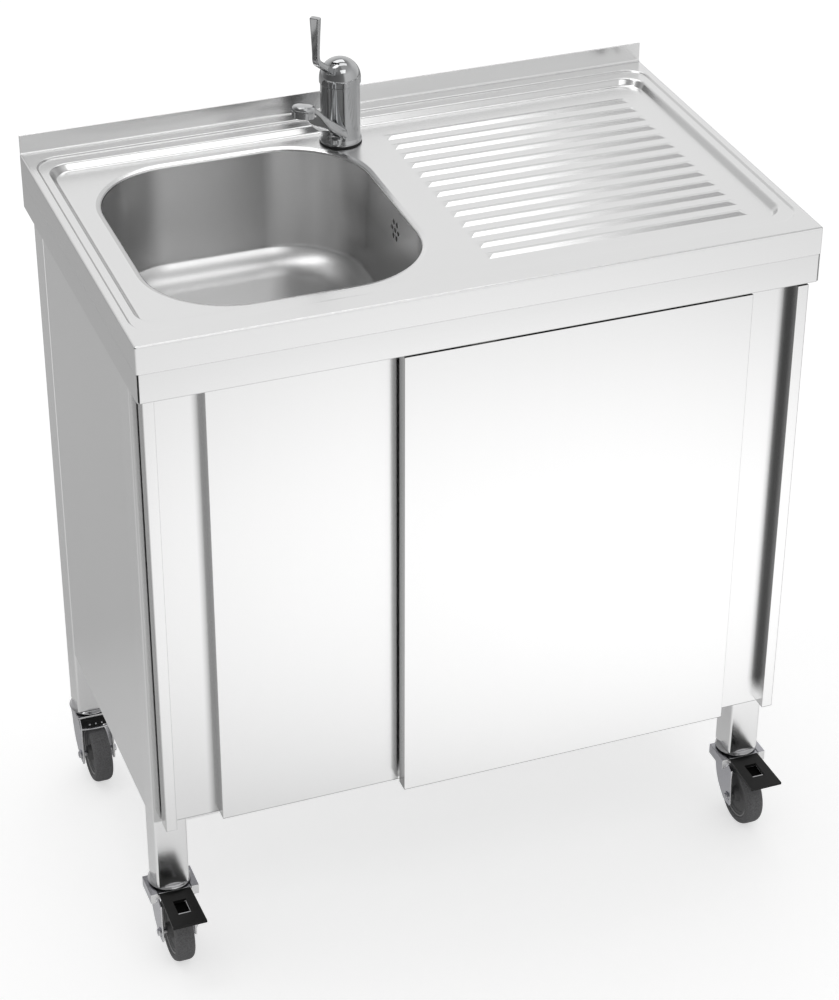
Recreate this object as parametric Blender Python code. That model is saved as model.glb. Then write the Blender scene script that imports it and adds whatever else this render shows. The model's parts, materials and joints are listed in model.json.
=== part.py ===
"""Portable sink on casters: worktop with bowl and drainer, cabinet with sliding doors, lever tap.

Metres, +Z up, -Y is the front. The origin is on the floor, under the middle of the object's box.
"""
import math

import bmesh
import bpy
from mathutils import Matrix, Vector

for item in list(bpy.data.objects):
    bpy.data.objects.remove(item)

# Overall sizes, sheet thickness and the clearance between pieces that touch
TOP_W = 0.800
TOP_D = 0.500
TOP_H = 0.866
SHEET = 0.0015
FIT = 0.0003

# Worktop: fascia, splash and the two steps down to the deck
FASCIA_H = 0.033
SPLASH_H = 0.024
SPLASH_T = 0.002
EDGE_R = 0.002
RIM_SIDE = 0.0085
RIM_FRONT = 0.028
RIM_BACK = 0.021
STEP_R = 0.030
STEP_DROP = 0.002
STEP_RUN = 0.0032
LEDGE_SIDE = 0.008
LEDGE_FRONT = 0.0165
LEDGE_BACK = 0.0145
DECK_DROP = 0.008
DECK_RUN = 0.0082

# Bowl: margins to the worktop's edges, opening and depth
BOWL_LEFT = 0.055
BOWL_FRONT = 0.072
BOWL_BACK = 0.066
BOWL_W = 0.324
BOWL_R = 0.100
BOWL_DEPTH = 0.150
BOWL_DRAFT = 0.004
BOWL_FILLET = 0.042
BOWL_FLANGE = 0.006

# Drainer ribs: margins to the bowl and to the worktop's edges
RIB_GAP = 0.0485
RIB_END = 0.0565
RIB_FRONT = 0.0837
RIB_BACK = 0.0875
RIB_PITCH = 0.0274
RIB_W = 0.015
RIB_H = 0.002

# Overflow: rosette of holes in the bowl's right wall, and the housing behind it
OVERFLOW_RING = 6
OVERFLOW_HOLE_R = 0.0026
OVERFLOW_PITCH = 0.0082
OVERFLOW_DOWN = 0.0315
OVERFLOW_FORWARD = 0.0165
HOUSING_SIZE = 0.036
HOUSING_T = 0.016
HOUSING_WALL = 0.003
SPIGOT_R = 0.0060
SPIGOT_WALL = 0.0015
SPIGOT_L = 0.022

# Aprons: the lower bands under the fascia
APRON_H = 0.0351
CORNER_GAP = 0.0018

# Legs and cabinet panels
LEG = 0.040
LEG_WALL = 0.002
LEG_BACK = 0.0408
PANEL_RECESS = 0.0012
PANEL_RETURN = 0.012
PANEL_LIFT = 0.093
FLOOR_LIP = 0.015

# Sliding doors
DOOR_W = 0.489
DOOR_T = 0.0175
DOOR_SKIN = 0.0012
DOOR_END = 0.0109
DOOR_FACE = 0.0024
DOOR_PASS = 0.0051
DOOR_REAR = 0.0041
DOOR_HEAD = 0.0033
DOOR_LIFT = 0.0068
PULL_STRIP = 0.0135
PULL_W = 0.0562

# Door track, hangers and centre guide
TRACK_HEAD = 0.0012
TRACK_RAISE = 0.0009
TRACK_SIDE = 0.00095
TRACK_SLOT = 0.008
HANGER_L = 0.040
HANGER_H = 0.012
HANGER_SIDE = 0.0008
HANGER_SHOULDER = 0.006
HANGER_INSET = 0.095
GUIDE_L = 0.040
GUIDE_SLOT = 0.006
GUIDE_SIDE = 0.0015
GUIDE_FIN_H = 0.010
GUIDE_DROP = 0.0006
GUIDE_FRONT = 0.005

# Tap body, from the bowl's rear corner outwards and from the deck upwards
TAP_CORNER = math.radians(43.5)
TAP_TURN = math.radians(45)
TAP_NUT_GAP = 0.0043
TAP_HOLE_R = 0.0175
TAP_SHANK_CLEAR = 0.001
TAP_SHANK_L = 0.040
TAP_GASKET_T = 0.0015
TAP_BODY_R = 0.0237
TAP_BODY_H = 0.0762
TAP_FLARE = 0.0019
TAP_FOOT_H = 0.0025
TAP_FLARE_H = 0.0060
TAP_WALL = 0.0042
TAP_BORE_L = 0.030
TAP_INLET_R = 0.005
TAP_INLET_WALL = 0.0035
TAP_INLET_L = 0.015
NUT_WALL = 0.0055
NUT_T = 0.008
CARTRIDGE_DROP = 0.006
CARTRIDGE_STEM_R = 0.006
PLUG_H = 0.0118
PLUG_R = 0.0062
PLUG_SOCKET = 0.0020
PLUG_OUT = 0.0050

# Tap spout and aerator
SPOUT_ROOT_H = 0.0245
SPOUT_ROOT_W = 0.0250
SPOUT_ROOT_T = 0.0150
SPOUT_ROOT_IN = 0.0060
SPOUT_ROOT_TILT = math.radians(43)
SPOUT_END_W = 0.0200
SPOUT_END_T = 0.0110
SPOUT_END_TILT = math.radians(11)
SPOUT_REACH = 0.0985
SPOUT_HEAD_R = 0.0138
SPOUT_HEAD_H = 0.0200
SPOUT_HEAD_TOP = 0.0865
SPOUT_HEAD_DOME = 0.0040
SPOUT_HEAD_WALL = 0.0027
AERATOR_L = 0.008
AERATOR_OUT = 0.0015
AERATOR_LIP = 0.0030
AERATOR_DEEP = 0.0020

# Tap cap and lever
CAP_LIP = 0.0013
CAP_H = 0.1067
CAP_WALL = 0.003
SLOT_CLEAR = 0.0006
PIVOT_R = 0.008
LEVER_LIFT = math.radians(20)
LEVER_BEND_REACH = 0.0655
LEVER_BEND_H = 0.1270
LEVER_BEND_R = 0.0060
LEVER_TILT = math.radians(88)
LEVER_TIP_H = 0.1790
LEVER_W = 0.0090
LEVER_T = 0.0070
LEVER_TIP_W = 0.0125
BAR_SIDE = 0.5
BAR_SHOULDER = 0.6

# Waste and bottle trap under the bowl
WASTE_HOLE_R = 0.0260
WASTE_FLANGE = 0.014
WASTE_FLANGE_T = 0.0022
WASTE_FLANGE_EDGE = 0.003
WASTE_STEM_L = 0.016
WASTE_RING_T = 0.004
WASTE_GRID_DROP = 0.006
WASTE_GRID_T = 0.002
WASTE_HOLE_COUNT = 8
WASTE_SLOT_R = 0.0032
WASTE_BODY_T = 0.007
WASTE_BODY_L = 0.040
WASTE_TAIL_R = 0.0190
WASTE_TAIL_L = 0.060
WASTE_NUT_T = 0.014
TRAP_ROOM = 0.015
TRAP_WALL = 0.003
TRAP_H = 0.120
TRAP_OUTLET_R = 0.0200
TRAP_OUTLET_L = 0.070
TRAP_OUTLET_DROP = 0.034

# Casters, from the swivel axis
WHEEL_R = 0.040
TYRE_W = 0.024
TYRE_T = 0.0115
TYRE_SHOULDER = 0.004
TYRE_CLEAR = 0.002
TRAIL = 0.027
HUB_INSET = 0.0035
HUB_WEB_T = 0.0085
HUB_RIM_T = 0.004
HUB_BOSS_R = 0.009
AXLE_R = 0.004
AXLE_HEAD_R = 0.0075
AXLE_HEAD_T = 0.0039
CHEEK_T = 0.0028
CHEEK_FOOT_R = 0.0100
CHEEK_BACK = 0.0170
CHEEK_FRONT = 0.0230
CHEEK_SLOPE = 0.0050
CHEEK_FOOT_TURN = math.radians(22.5)
YOKE_CLEAR = 0.0030
YOKE_H = 0.0136
YOKE_T = 0.003
YOKE_EAR = 0.0132
YOKE_FRONT = 0.0240
YOKE_BACK = 0.0140
DISC_R = 0.0250
DISC_T = 0.0048
DISC_EDGE = 0.001
KING_R = 0.0050
KING_CLEAR = 0.0005
RIVET_R = 0.0080
RIVET_T = 0.0035
STEM_PLUG_L = 0.030

# Brake pedals on the front casters
PEDAL_GAP = 0.0006
PEDAL_L = 0.0640
PEDAL_TOP_DROP = 0.0010
PEDAL_T = 0.0034
PEDAL_FRONT_W = 0.0420
PEDAL_BACK_W = 0.0390
PEDAL_WINDOW = 0.0160
PEDAL_WINDOW_AT = 0.0190
PEDAL_ARM_SIDE = 0.0020
PEDAL_PIVOT = 0.0075
PEDAL_PIVOT_H = 0.0055
PEDAL_PIN_R = 0.0022
PEDAL_PRESS = math.radians(9)
SHOE_W = 0.0160
SHOE_L = 0.0100
SHOE_CLEAR = 0.0026

# Smoothness of round forms
ROUND_SEGMENTS = 32
MEDIUM_SEGMENTS = 24
SMALL_SEGMENTS = 16
HOLE_SEGMENTS = 8
GRID_HOLE_SEGMENTS = 6
CORNER_STEPS = 6
BOWL_CORNER_STEPS = 9
FILLET_STEPS = 5
DOME_STEPS = 5
SPOUT_STEPS = 4
FOOT_STEPS = 8
SHARP_ANGLE = math.radians(35)
MERGE = 0.00001

# Levels, from the floor up
YOKE_LOW = 2 * WHEEL_R + YOKE_CLEAR
YOKE_TOP = YOKE_LOW + YOKE_H
YOKE_ROOF = YOKE_TOP - YOKE_T
LEG_LOW = YOKE_TOP + DISC_T + 2 * FIT
PANEL_LOW = LEG_LOW + PANEL_LIFT
DOOR_LOW = PANEL_LOW + DOOR_LIFT
RIM = TOP_H
DECK = RIM - STEP_DROP - DECK_DROP
UNDER_DECK = DECK - SHEET
LEG_TOP = UNDER_DECK - FIT
APRON_TOP = RIM - FASCIA_H - FIT
APRON_LOW = APRON_TOP - APRON_H
TRACK_TOP = APRON_TOP - TRACK_HEAD
TRACK_LOW = APRON_LOW + TRACK_RAISE
DOOR_TOP = APRON_LOW - DOOR_HEAD
BOWL_TOP = UNDER_DECK - FIT
BOWL_FLOOR = DECK - BOWL_DEPTH

# Places in plan
DOOR_STEP = DOOR_T + DOOR_PASS
LEG_FRONT = DOOR_FACE + DOOR_STEP + DOOR_T + DOOR_REAR
PEDAL_BACK = YOKE_FRONT + PEDAL_GAP
PEDAL_OVERHANG = PEDAL_BACK + PEDAL_L - LEG_FRONT - LEG / 2
LEFT = -TOP_W / 2
RIGHT = TOP_W / 2
FRONT = -(TOP_D - PEDAL_OVERHANG) / 2
BACK = FRONT + TOP_D
LEG_X = RIGHT - SHEET - FIT - LEG / 2
LEG_Y_FRONT = FRONT + LEG_FRONT + LEG / 2
LEG_Y_BACK = BACK - LEG_BACK - LEG / 2
FACE_OUTER = FRONT + DOOR_FACE
FACE_INNER = FACE_OUTER + DOOR_STEP
BOWL_X0 = LEFT + BOWL_LEFT
BOWL_X1 = BOWL_X0 + BOWL_W
BOWL_Y0 = FRONT + BOWL_FRONT
BOWL_Y1 = BACK - BOWL_BACK
WASTE = Vector(((BOWL_X0 + BOWL_X1) / 2, (BOWL_Y0 + BOWL_Y1) / 2, 0.0))

# Radii that follow one another
TAP_SHANK_R = TAP_HOLE_R - TAP_SHANK_CLEAR
NUT_R = TAP_SHANK_R + NUT_WALL
TAP_BASE_R = TAP_BODY_R + TAP_FLARE
TAP_BORE_R = TAP_BODY_R - TAP_WALL
CAP_R = TAP_BODY_R + CAP_LIP
PIVOT_H = CAP_H - CAP_R
AERATOR_R = SPOUT_HEAD_R - SPOUT_HEAD_WALL - FIT
TRAP_R = WASTE_TAIL_R + TRAP_ROOM
TYRE_BORE_R = WHEEL_R - TYRE_T
CHEEK_IN = TYRE_W / 2 + TYRE_CLEAR
CHEEK_OUT = CHEEK_IN + CHEEK_T

# The tap stands outside the bowl's rear right corner and points at the bowl
TAP_AWAY = BOWL_R + BOWL_FLANGE + NUT_R + TAP_NUT_GAP
TAP_AXIS = Vector((BOWL_X1 - BOWL_R + TAP_AWAY * math.cos(TAP_CORNER),
                   BOWL_Y1 - BOWL_R + TAP_AWAY * math.sin(TAP_CORNER), 0.0))
TAP_OUT = Vector((-math.sin(TAP_TURN), -math.cos(TAP_TURN), 0.0))
TAP_SIDE = Vector((TAP_OUT.y, -TAP_OUT.x, 0.0))
UP = Vector((0.0, 0.0, 1.0))


def material(name, colour, roughness, metallic):
    """Make one Principled material."""
    made = bpy.data.materials.new(name)
    made.use_nodes = True
    shader = made.node_tree.nodes["Principled BSDF"]
    shader.inputs["Base Color"].default_value = (*colour, 1.0)
    shader.inputs["Roughness"].default_value = roughness
    shader.inputs["Metallic"].default_value = metallic
    return made


STEEL = material("satin_steel", (0.72, 0.72, 0.72), 0.35, 1.0)
BOWL_STEEL = material("bowl_steel", (0.60, 0.60, 0.60), 0.40, 1.0)
CHROME = material("chrome", (0.80, 0.80, 0.82), 0.06, 1.0)
ZINC = material("zinc_plate", (0.60, 0.60, 0.66), 0.30, 1.0)
BLACK = material("black_plastic", (0.02, 0.02, 0.02), 0.45, 0.0)
TYRE = material("grey_tyre", (0.07, 0.07, 0.07), 0.75, 0.0)
HUB = material("grey_hub", (0.10, 0.10, 0.10), 0.55, 0.0)
RUBBER = material("black_rubber", (0.03, 0.03, 0.03), 0.80, 0.0)
BRASS = material("brass", (0.70, 0.55, 0.25), 0.35, 1.0)
WHITE_PLASTIC = material("white_plastic", (0.80, 0.80, 0.78), 0.45, 0.0)


def solid_mesh(bm, name):
    """Turn a bmesh into a mesh whose faces point out."""
    bmesh.ops.recalc_face_normals(bm, faces=bm.faces)
    mesh = bpy.data.meshes.new(name)
    bm.to_mesh(mesh)
    bm.free()
    return mesh


def combine(base, tool, operation):
    """Join two bmeshes, or cut the second out of the first, and return the result."""
    pair = []
    for bm in (base, tool):
        piece = bpy.data.objects.new("working", solid_mesh(bm, "working"))
        bpy.context.scene.collection.objects.link(piece)
        pair.append(piece)
    step = pair[0].modifiers.new("combine", "BOOLEAN")
    step.solver = "EXACT"
    step.operation = operation
    step.object = pair[1]
    graph = bpy.context.evaluated_depsgraph_get()
    result = bmesh.new()
    result.from_mesh(pair[0].evaluated_get(graph).to_mesh())
    for piece in pair:
        bpy.data.objects.remove(piece)
    bmesh.ops.remove_doubles(result, verts=result.verts, dist=MERGE)
    return result


def join(*shapes):
    """Union several overlapping bmeshes into one."""
    whole = shapes[0]
    for shape in shapes[1:]:
        whole = combine(whole, shape, "UNION")
    return whole


def cut(base, *tools):
    """Cut several bmeshes out of one."""
    for tool in tools:
        base = combine(base, tool, "DIFFERENCE")
    return base


def mirrored(bm, side):
    """Flip a bmesh in X when side is -1."""
    bmesh.ops.scale(bm, verts=bm.verts, vec=(side, 1.0, 1.0))
    return bm


def moved(bm, offset):
    """Shift a bmesh."""
    bmesh.ops.translate(bm, verts=bm.verts, vec=offset)
    return bm


def place(name, bm, look, origin=(0.0, 0.0, 0.0)):
    """Make the named object, with its own copy of a material and its origin at a world point."""
    origin = Vector(origin)
    mesh = solid_mesh(moved(bm, -origin), name)
    mesh.shade_smooth()
    mesh.set_sharp_from_angle(angle=SHARP_ANGLE)
    own_look = look.copy()
    own_look.name = name + "_finish"
    mesh.materials.append(own_look)
    made = bpy.data.objects.new(name, mesh)
    made.location = origin
    bpy.context.scene.collection.objects.link(made)


def box(low, high):
    """A box between two corners."""
    bm = bmesh.new()
    bmesh.ops.create_cube(bm, size=1.0)
    low = Vector(low)
    high = Vector(high)
    bmesh.ops.scale(bm, verts=bm.verts, vec=high - low)
    return moved(bm, (low + high) / 2)


def loft(loops):
    """Skin a row of closed loops with the same point count, with flat ends."""
    bm = bmesh.new()
    rings = [[bm.verts.new(point) for point in loop] for loop in loops]
    count = len(rings[0])
    for near, far in zip(rings, rings[1:]):
        for k in range(count):
            after = (k + 1) % count
            bm.faces.new((near[k], near[after], far[after], far[k]))
    bm.faces.new(rings[0])
    bm.faces.new(rings[-1])
    return bm


def turned(profile, segments, centre, axis="Z"):
    """Spin a closed (radius, height) outline about an axis through a point."""
    bm = bmesh.new()
    rings = []
    for radius, height in profile:
        if radius == 0.0:
            rings.append([bm.verts.new((0.0, 0.0, height))] * segments)
            continue
        circle = []
        for k in range(segments):
            angle = 2 * math.pi * k / segments
            circle.append(bm.verts.new((radius * math.cos(angle), radius * math.sin(angle), height)))
        rings.append(circle)
    for near, far in zip(rings, rings[1:] + rings[:1]):
        for k in range(segments):
            after = (k + 1) % segments
            corners = list(dict.fromkeys((near[k], near[after], far[after], far[k])))
            if len(corners) > 2:
                bm.faces.new(corners)
    if axis == "X":
        bmesh.ops.rotate(bm, verts=bm.verts, matrix=Matrix.Rotation(math.pi / 2, 3, "Y"))
    if axis == "Y":
        bmesh.ops.rotate(bm, verts=bm.verts, matrix=Matrix.Rotation(-math.pi / 2, 3, "X"))
    return moved(bm, Vector(centre))


def rod(radius, low, high, segments, centre, axis="Z"):
    """A round bar from low to high along an axis through a point."""
    return turned(((0.0, low), (radius, low), (radius, high), (0.0, high)), segments, centre, axis)


def tube(inner, outer, low, high, segments, centre):
    """An upright round tube from low to high."""
    return turned(((inner, low), (outer, low), (outer, high), (inner, high)), segments, centre)


def extruded(outline, low, high, axis):
    """Extrude a flat outline along one axis; it holds the two other coordinates in their order."""
    if axis == "X":
        return loft([[(at, a, b) for a, b in outline] for at in (low, high)])
    if axis == "Y":
        return loft([[(a, at, b) for a, b in outline] for at in (low, high)])
    return loft([[(a, b, at) for a, b in outline] for at in (low, high)])


def rounded_rectangle(x0, x1, y0, y1, radius, height, steps):
    """Points of a level rectangle with round corners."""
    points = []
    for x, y, quarter in ((x1, y1, 0), (x0, y1, 1), (x0, y0, 2), (x1, y0, 3)):
        across = x - math.copysign(radius, x - (x0 + x1) / 2)
        along = y - math.copysign(radius, y - (y0 + y1) / 2)
        for k in range(steps + 1):
            angle = (quarter + k / steps) * math.pi / 2
            points.append((across + radius * math.cos(angle), along + radius * math.sin(angle), height))
    return points


def top_loop(side, front, back, radius, height):
    """A loop of the worktop, inset by its own amount at the sides, front and back."""
    return rounded_rectangle(LEFT + side, RIGHT - side, FRONT + front, BACK - back,
                             radius, height, CORNER_STEPS)


def bowl_loop(inset, height):
    """A loop of the bowl's opening, inset evenly."""
    return rounded_rectangle(BOWL_X0 + inset, BOWL_X1 - inset, BOWL_Y0 + inset, BOWL_Y1 - inset,
                             BOWL_R - inset, height, BOWL_CORNER_STEPS)


def rib(centre_y):
    """One raised drainer rib with hipped ends, sunk a little into the deck."""
    half = RIB_W / 2
    sink = SHEET / 2
    spread = half * (1 + sink / RIB_H)
    x0 = BOWL_X1 + RIB_GAP + half
    x1 = RIGHT - RIB_END - half
    low = DECK - sink
    bm = bmesh.new()
    plan = ((x0, -1, -1), (x1, 1, -1), (x1, 1, 1), (x0, -1, 1))
    base = [bm.verts.new((x + a * spread, centre_y + b * spread, low)) for x, a, b in plan]
    ridge = [bm.verts.new((x, centre_y, DECK + RIB_H)) for x in (x0, x1)]
    bm.faces.new(base)
    bm.faces.new((base[0], base[1], ridge[1], ridge[0]))
    bm.faces.new((base[2], base[3], ridge[0], ridge[1]))
    bm.faces.new((base[1], base[2], ridge[1]))
    bm.faces.new((base[3], base[0], ridge[0]))
    return bm


def make_worktop():
    """Pressed worktop: fascia, rim, two steps, deck, ribs and splash, with the bowl and tap holes."""
    step = [RIM_SIDE + STEP_RUN, RIM_FRONT + STEP_RUN, RIM_BACK + STEP_RUN]
    ledge = [step[0] + LEDGE_SIDE, step[1] + LEDGE_FRONT, step[2] + LEDGE_BACK]
    deck = [inset + DECK_RUN for inset in ledge]
    inner_r = STEP_R - STEP_RUN
    pressed = (
        (RIM_SIDE, RIM_FRONT, RIM_BACK, STEP_R, RIM),
        (*step, inner_r, RIM - STEP_DROP),
        (*ledge, inner_r, RIM - STEP_DROP),
        (*deck, inner_r - DECK_RUN / 2, DECK),
    )
    upper = [top_loop(*entry) for entry in pressed]
    lower = [top_loop(*entry[:4], entry[4] - SHEET) for entry in pressed]
    bend = EDGE_R / 2
    skin = [
        top_loop(SHEET, SHEET, SHEET, bend, RIM - SHEET),
        top_loop(SHEET, SHEET, SHEET, bend, RIM - FASCIA_H),
        top_loop(0.0, 0.0, 0.0, EDGE_R, RIM - FASCIA_H),
        top_loop(0.0, 0.0, 0.0, EDGE_R, RIM - bend),
        top_loop(bend, bend, bend, bend, RIM),
    ]
    sheet = loft(lower[::-1] + skin + upper)
    inset = bend / 2
    splash = box((LEFT + inset, BACK - inset - SPLASH_T, RIM - SHEET / 2),
                 (RIGHT - inset, BACK - inset, RIM + SPLASH_H))
    sheet = join(sheet, splash)
    rib_count = 1 + math.floor((TOP_D - RIB_FRONT - RIB_BACK) / RIB_PITCH + FIT)
    for k in range(rib_count):
        sheet = join(sheet, rib(FRONT + RIB_FRONT + k * RIB_PITCH))
    opening = loft([bowl_loop(0.0, DECK - 2 * SHEET), bowl_loop(0.0, DECK + SHEET)])
    tap_hole = rod(TAP_HOLE_R, DECK - 2 * SHEET, DECK + SHEET, ROUND_SEGMENTS, TAP_AXIS)
    place("worktop", cut(sheet, opening, tap_hole), STEEL)


def bowl_fillet(wall):
    """Loops of the bowl's lower corner, from the side wall to the floor, on one side of the sheet."""
    loops = []
    radius = BOWL_FILLET + wall
    for k in range(FILLET_STEPS + 1):
        angle = k / FILLET_STEPS * math.pi / 2
        inset = BOWL_DRAFT - wall + radius * (1 - math.cos(angle))
        loops.append(bowl_loop(inset, BOWL_FLOOR - wall + radius * (1 - math.sin(angle))))
    return loops


def make_bowl():
    """Drawn bowl with a narrow flange under the deck, a waste hole and a rosette of overflow holes."""
    inside = [bowl_loop(0.0, BOWL_TOP)] + bowl_fillet(0.0)
    outside = [bowl_loop(-BOWL_FLANGE, BOWL_TOP), bowl_loop(-BOWL_FLANGE, BOWL_TOP - SHEET)]
    outside += [bowl_loop(-SHEET, BOWL_TOP - SHEET)] + bowl_fillet(SHEET)
    shell = loft(inside[::-1] + outside)
    waste_hole = rod(WASTE_HOLE_R, BOWL_FLOOR - 2 * SHEET, BOWL_FLOOR + SHEET, ROUND_SEGMENTS, WASTE)
    shell = cut(shell, waste_hole)
    middle = Vector((0.0, WASTE.y - OVERFLOW_FORWARD, DECK - OVERFLOW_DOWN))
    offsets = [Vector((0.0, 0.0, 0.0))]
    for k in range(OVERFLOW_RING):
        angle = 2 * math.pi * k / OVERFLOW_RING
        offsets.append(Vector((0.0, math.sin(angle), math.cos(angle))) * OVERFLOW_PITCH)
    for offset in offsets:
        hole = rod(OVERFLOW_HOLE_R, BOWL_X1 - 2 * BOWL_DRAFT, BOWL_X1 + 2 * SHEET, HOLE_SEGMENTS,
                   middle + offset, "X")
        shell = cut(shell, hole)
    place("sink_bowl", shell, BOWL_STEEL)


def make_overflow_housing():
    """Cup behind the overflow holes, open to the bowl's wall, with a spigot for the overflow hose."""
    half = HOUSING_SIZE / 2
    middle = DECK - OVERFLOW_DOWN
    y = WASTE.y - OVERFLOW_FORWARD
    top = middle + half
    low = middle - half
    wall_run = BOWL_DRAFT / (BOWL_DEPTH - BOWL_FILLET)
    face_top = BOWL_X1 + SHEET + FIT - wall_run * (BOWL_TOP - SHEET - top)
    face_low = BOWL_X1 + SHEET + FIT - wall_run * (BOWL_TOP - SHEET - low)
    back = face_top + HOUSING_T
    cup = extruded(((face_top, top), (back, top), (back, low), (face_low, low)), y - half, y + half, "Y")
    inner = half - HOUSING_WALL
    hollow = box((face_low - HOUSING_WALL, y - inner, middle - inner),
                 (back - HOUSING_WALL, y + inner, middle + inner))
    spigot_x = (face_low + back) / 2
    stub = rod(SPIGOT_R, low - SPIGOT_L, low + HOUSING_WALL / 2, SMALL_SEGMENTS, (spigot_x, y, 0.0))
    bore = rod(SPIGOT_R - SPIGOT_WALL, low - 2 * SPIGOT_L, middle, SMALL_SEGMENTS, (spigot_x, y, 0.0))
    place("overflow_housing", cut(join(cup, stub), hollow, bore), WHITE_PLASTIC)


def make_aprons():
    """Four lower bands in the plane of the fascia; the rear one has a flange to the rear legs."""
    x0 = LEFT + CORNER_GAP
    x1 = RIGHT - CORNER_GAP
    y0 = FRONT + CORNER_GAP
    y1 = BACK - CORNER_GAP
    place("front_apron", box((x0, FRONT, APRON_LOW), (x1, FRONT + SHEET, APRON_TOP)), STEEL)
    place("left_apron", box((LEFT, y0, APRON_LOW), (LEFT + SHEET, y1, APRON_TOP)), STEEL)
    place("right_apron", box((RIGHT - SHEET, y0, APRON_LOW), (RIGHT, y1, APRON_TOP)), STEEL)
    legs = BACK - LEG_BACK + FIT
    shelf = APRON_LOW + SHEET
    outline = ((BACK, APRON_TOP), (BACK, APRON_LOW), (legs, APRON_LOW), (legs, shelf),
               (BACK - SHEET, shelf), (BACK - SHEET, APRON_TOP))
    place("rear_apron", extruded(outline, x0, x1, "X"), STEEL)


def make_leg(name, x, y):
    """Square tube leg, open at both ends."""
    half = LEG / 2
    inner = half - LEG_WALL
    outside = box((x - half, y - half, LEG_LOW), (x + half, y + half, LEG_TOP))
    bore = box((x - inner, y - inner, LEG_LOW - LEG_WALL), (x + inner, y + inner, LEG_TOP + LEG_WALL))
    place(name, cut(outside, bore), STEEL)


def make_panels():
    """Side, back and floor panels between the legs."""
    half = LEG / 2
    y0 = LEG_Y_FRONT + half + FIT
    y1 = LEG_Y_BACK - half - FIT
    outer = LEG_X + half - PANEL_RECESS
    for name, side in (("side_panel_left", -1), ("side_panel_right", 1)):
        plate = box((outer - PANEL_RETURN, y0, PANEL_LOW), (outer, y1, LEG_TOP))
        hollow = box((outer - 2 * PANEL_RETURN, y0 + SHEET, PANEL_LOW - SHEET),
                     (outer - SHEET, y1 - SHEET, LEG_TOP + SHEET))
        place(name, mirrored(cut(plate, hollow), side), STEEL)
    inner_x = LEG_X - half - FIT
    back_y = LEG_Y_BACK + half
    plate = box((-inner_x, back_y - PANEL_RETURN, PANEL_LOW), (inner_x, back_y, LEG_TOP))
    hollow = box((-inner_x + SHEET, back_y - 2 * PANEL_RETURN, PANEL_LOW - SHEET),
                 (inner_x - SHEET, back_y - SHEET, LEG_TOP + SHEET))
    place("back_panel", cut(plate, hollow), STEEL)
    floor_x = outer - PANEL_RETURN - FIT
    floor_front = LEG_Y_FRONT - half
    floor_back = back_y - PANEL_RETURN - FIT
    floor_top = PANEL_LOW + FLOOR_LIP
    tray = box((-floor_x, floor_front, PANEL_LOW), (floor_x, floor_back, floor_top))
    hollow = box((-floor_x - SHEET, floor_front + SHEET, PANEL_LOW - SHEET),
                 (floor_x + SHEET, floor_back - SHEET, floor_top - SHEET))
    tray = cut(tray, hollow)
    notch = half + FIT
    for x in (-LEG_X, LEG_X):
        for y in (LEG_Y_FRONT, LEG_Y_BACK):
            corner = box((x - notch, y - notch, PANEL_LOW - SHEET),
                         (x + notch, y + notch, floor_top + SHEET))
            tray = cut(tray, corner)
    place("cabinet_floor", tray, STEEL)


def make_door(name, side, face):
    """Hollow door with a full-height finger recess near its outer end; side is +1 for the right door."""
    outer = RIGHT - DOOR_END
    inner = outer - DOOR_W
    back = face + DOOR_T
    middle = face + DOOR_T / 2
    slab = box((inner, face, DOOR_LOW), (outer, back, DOOR_TOP))
    pull_inner = outer - PULL_STRIP - PULL_W
    pull = box((pull_inner, face - DOOR_T, DOOR_LOW - DOOR_T),
               (outer - PULL_STRIP, back - DOOR_SKIN, DOOR_TOP + DOOR_T))
    hollow = box((inner + DOOR_SKIN, face + DOOR_SKIN, DOOR_LOW + DOOR_SKIN),
                 (pull_inner - DOOR_SKIN, back - DOOR_SKIN, DOOR_TOP - DOOR_SKIN))
    slot = box((inner + 2 * DOOR_SKIN, middle - GUIDE_SLOT / 2, DOOR_LOW - DOOR_SKIN),
               (pull_inner - 2 * DOOR_SKIN, middle + GUIDE_SLOT / 2, DOOR_LOW + 2 * DOOR_SKIN))
    leaf = cut(slab, pull, join(hollow, slot))
    place(name, mirrored(leaf, side), STEEL, (side * (inner + outer) / 2, middle, DOOR_LOW))


def make_hangers(name, side, face):
    """Two T-shaped hangers that run in the track and carry one door."""
    outer = RIGHT - DOOR_END
    middle = face + DOOR_T / 2
    seat = TRACK_LOW + SHEET + FIT
    head = DOOR_T / 2 - TRACK_SIDE - HANGER_SIDE
    stem = TRACK_SLOT / 2 - HANGER_SIDE
    half = HANGER_L / 2
    neck = half - HANGER_SHOULDER
    for label, along in (("outer", outer - HANGER_INSET), ("inner", outer - DOOR_W + HANGER_INSET)):
        x = side * along
        carriage = box((x - half, middle - head, seat), (x + half, middle + head, seat + HANGER_H))
        shank = box((x - neck, middle - stem, DOOR_TOP + FIT),
                    (x + neck, middle + stem, seat + HANGER_H / 2))
        place(name + "_hanger_" + label, join(carriage, shank), WHITE_PLASTIC, (x, middle, seat))


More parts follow.
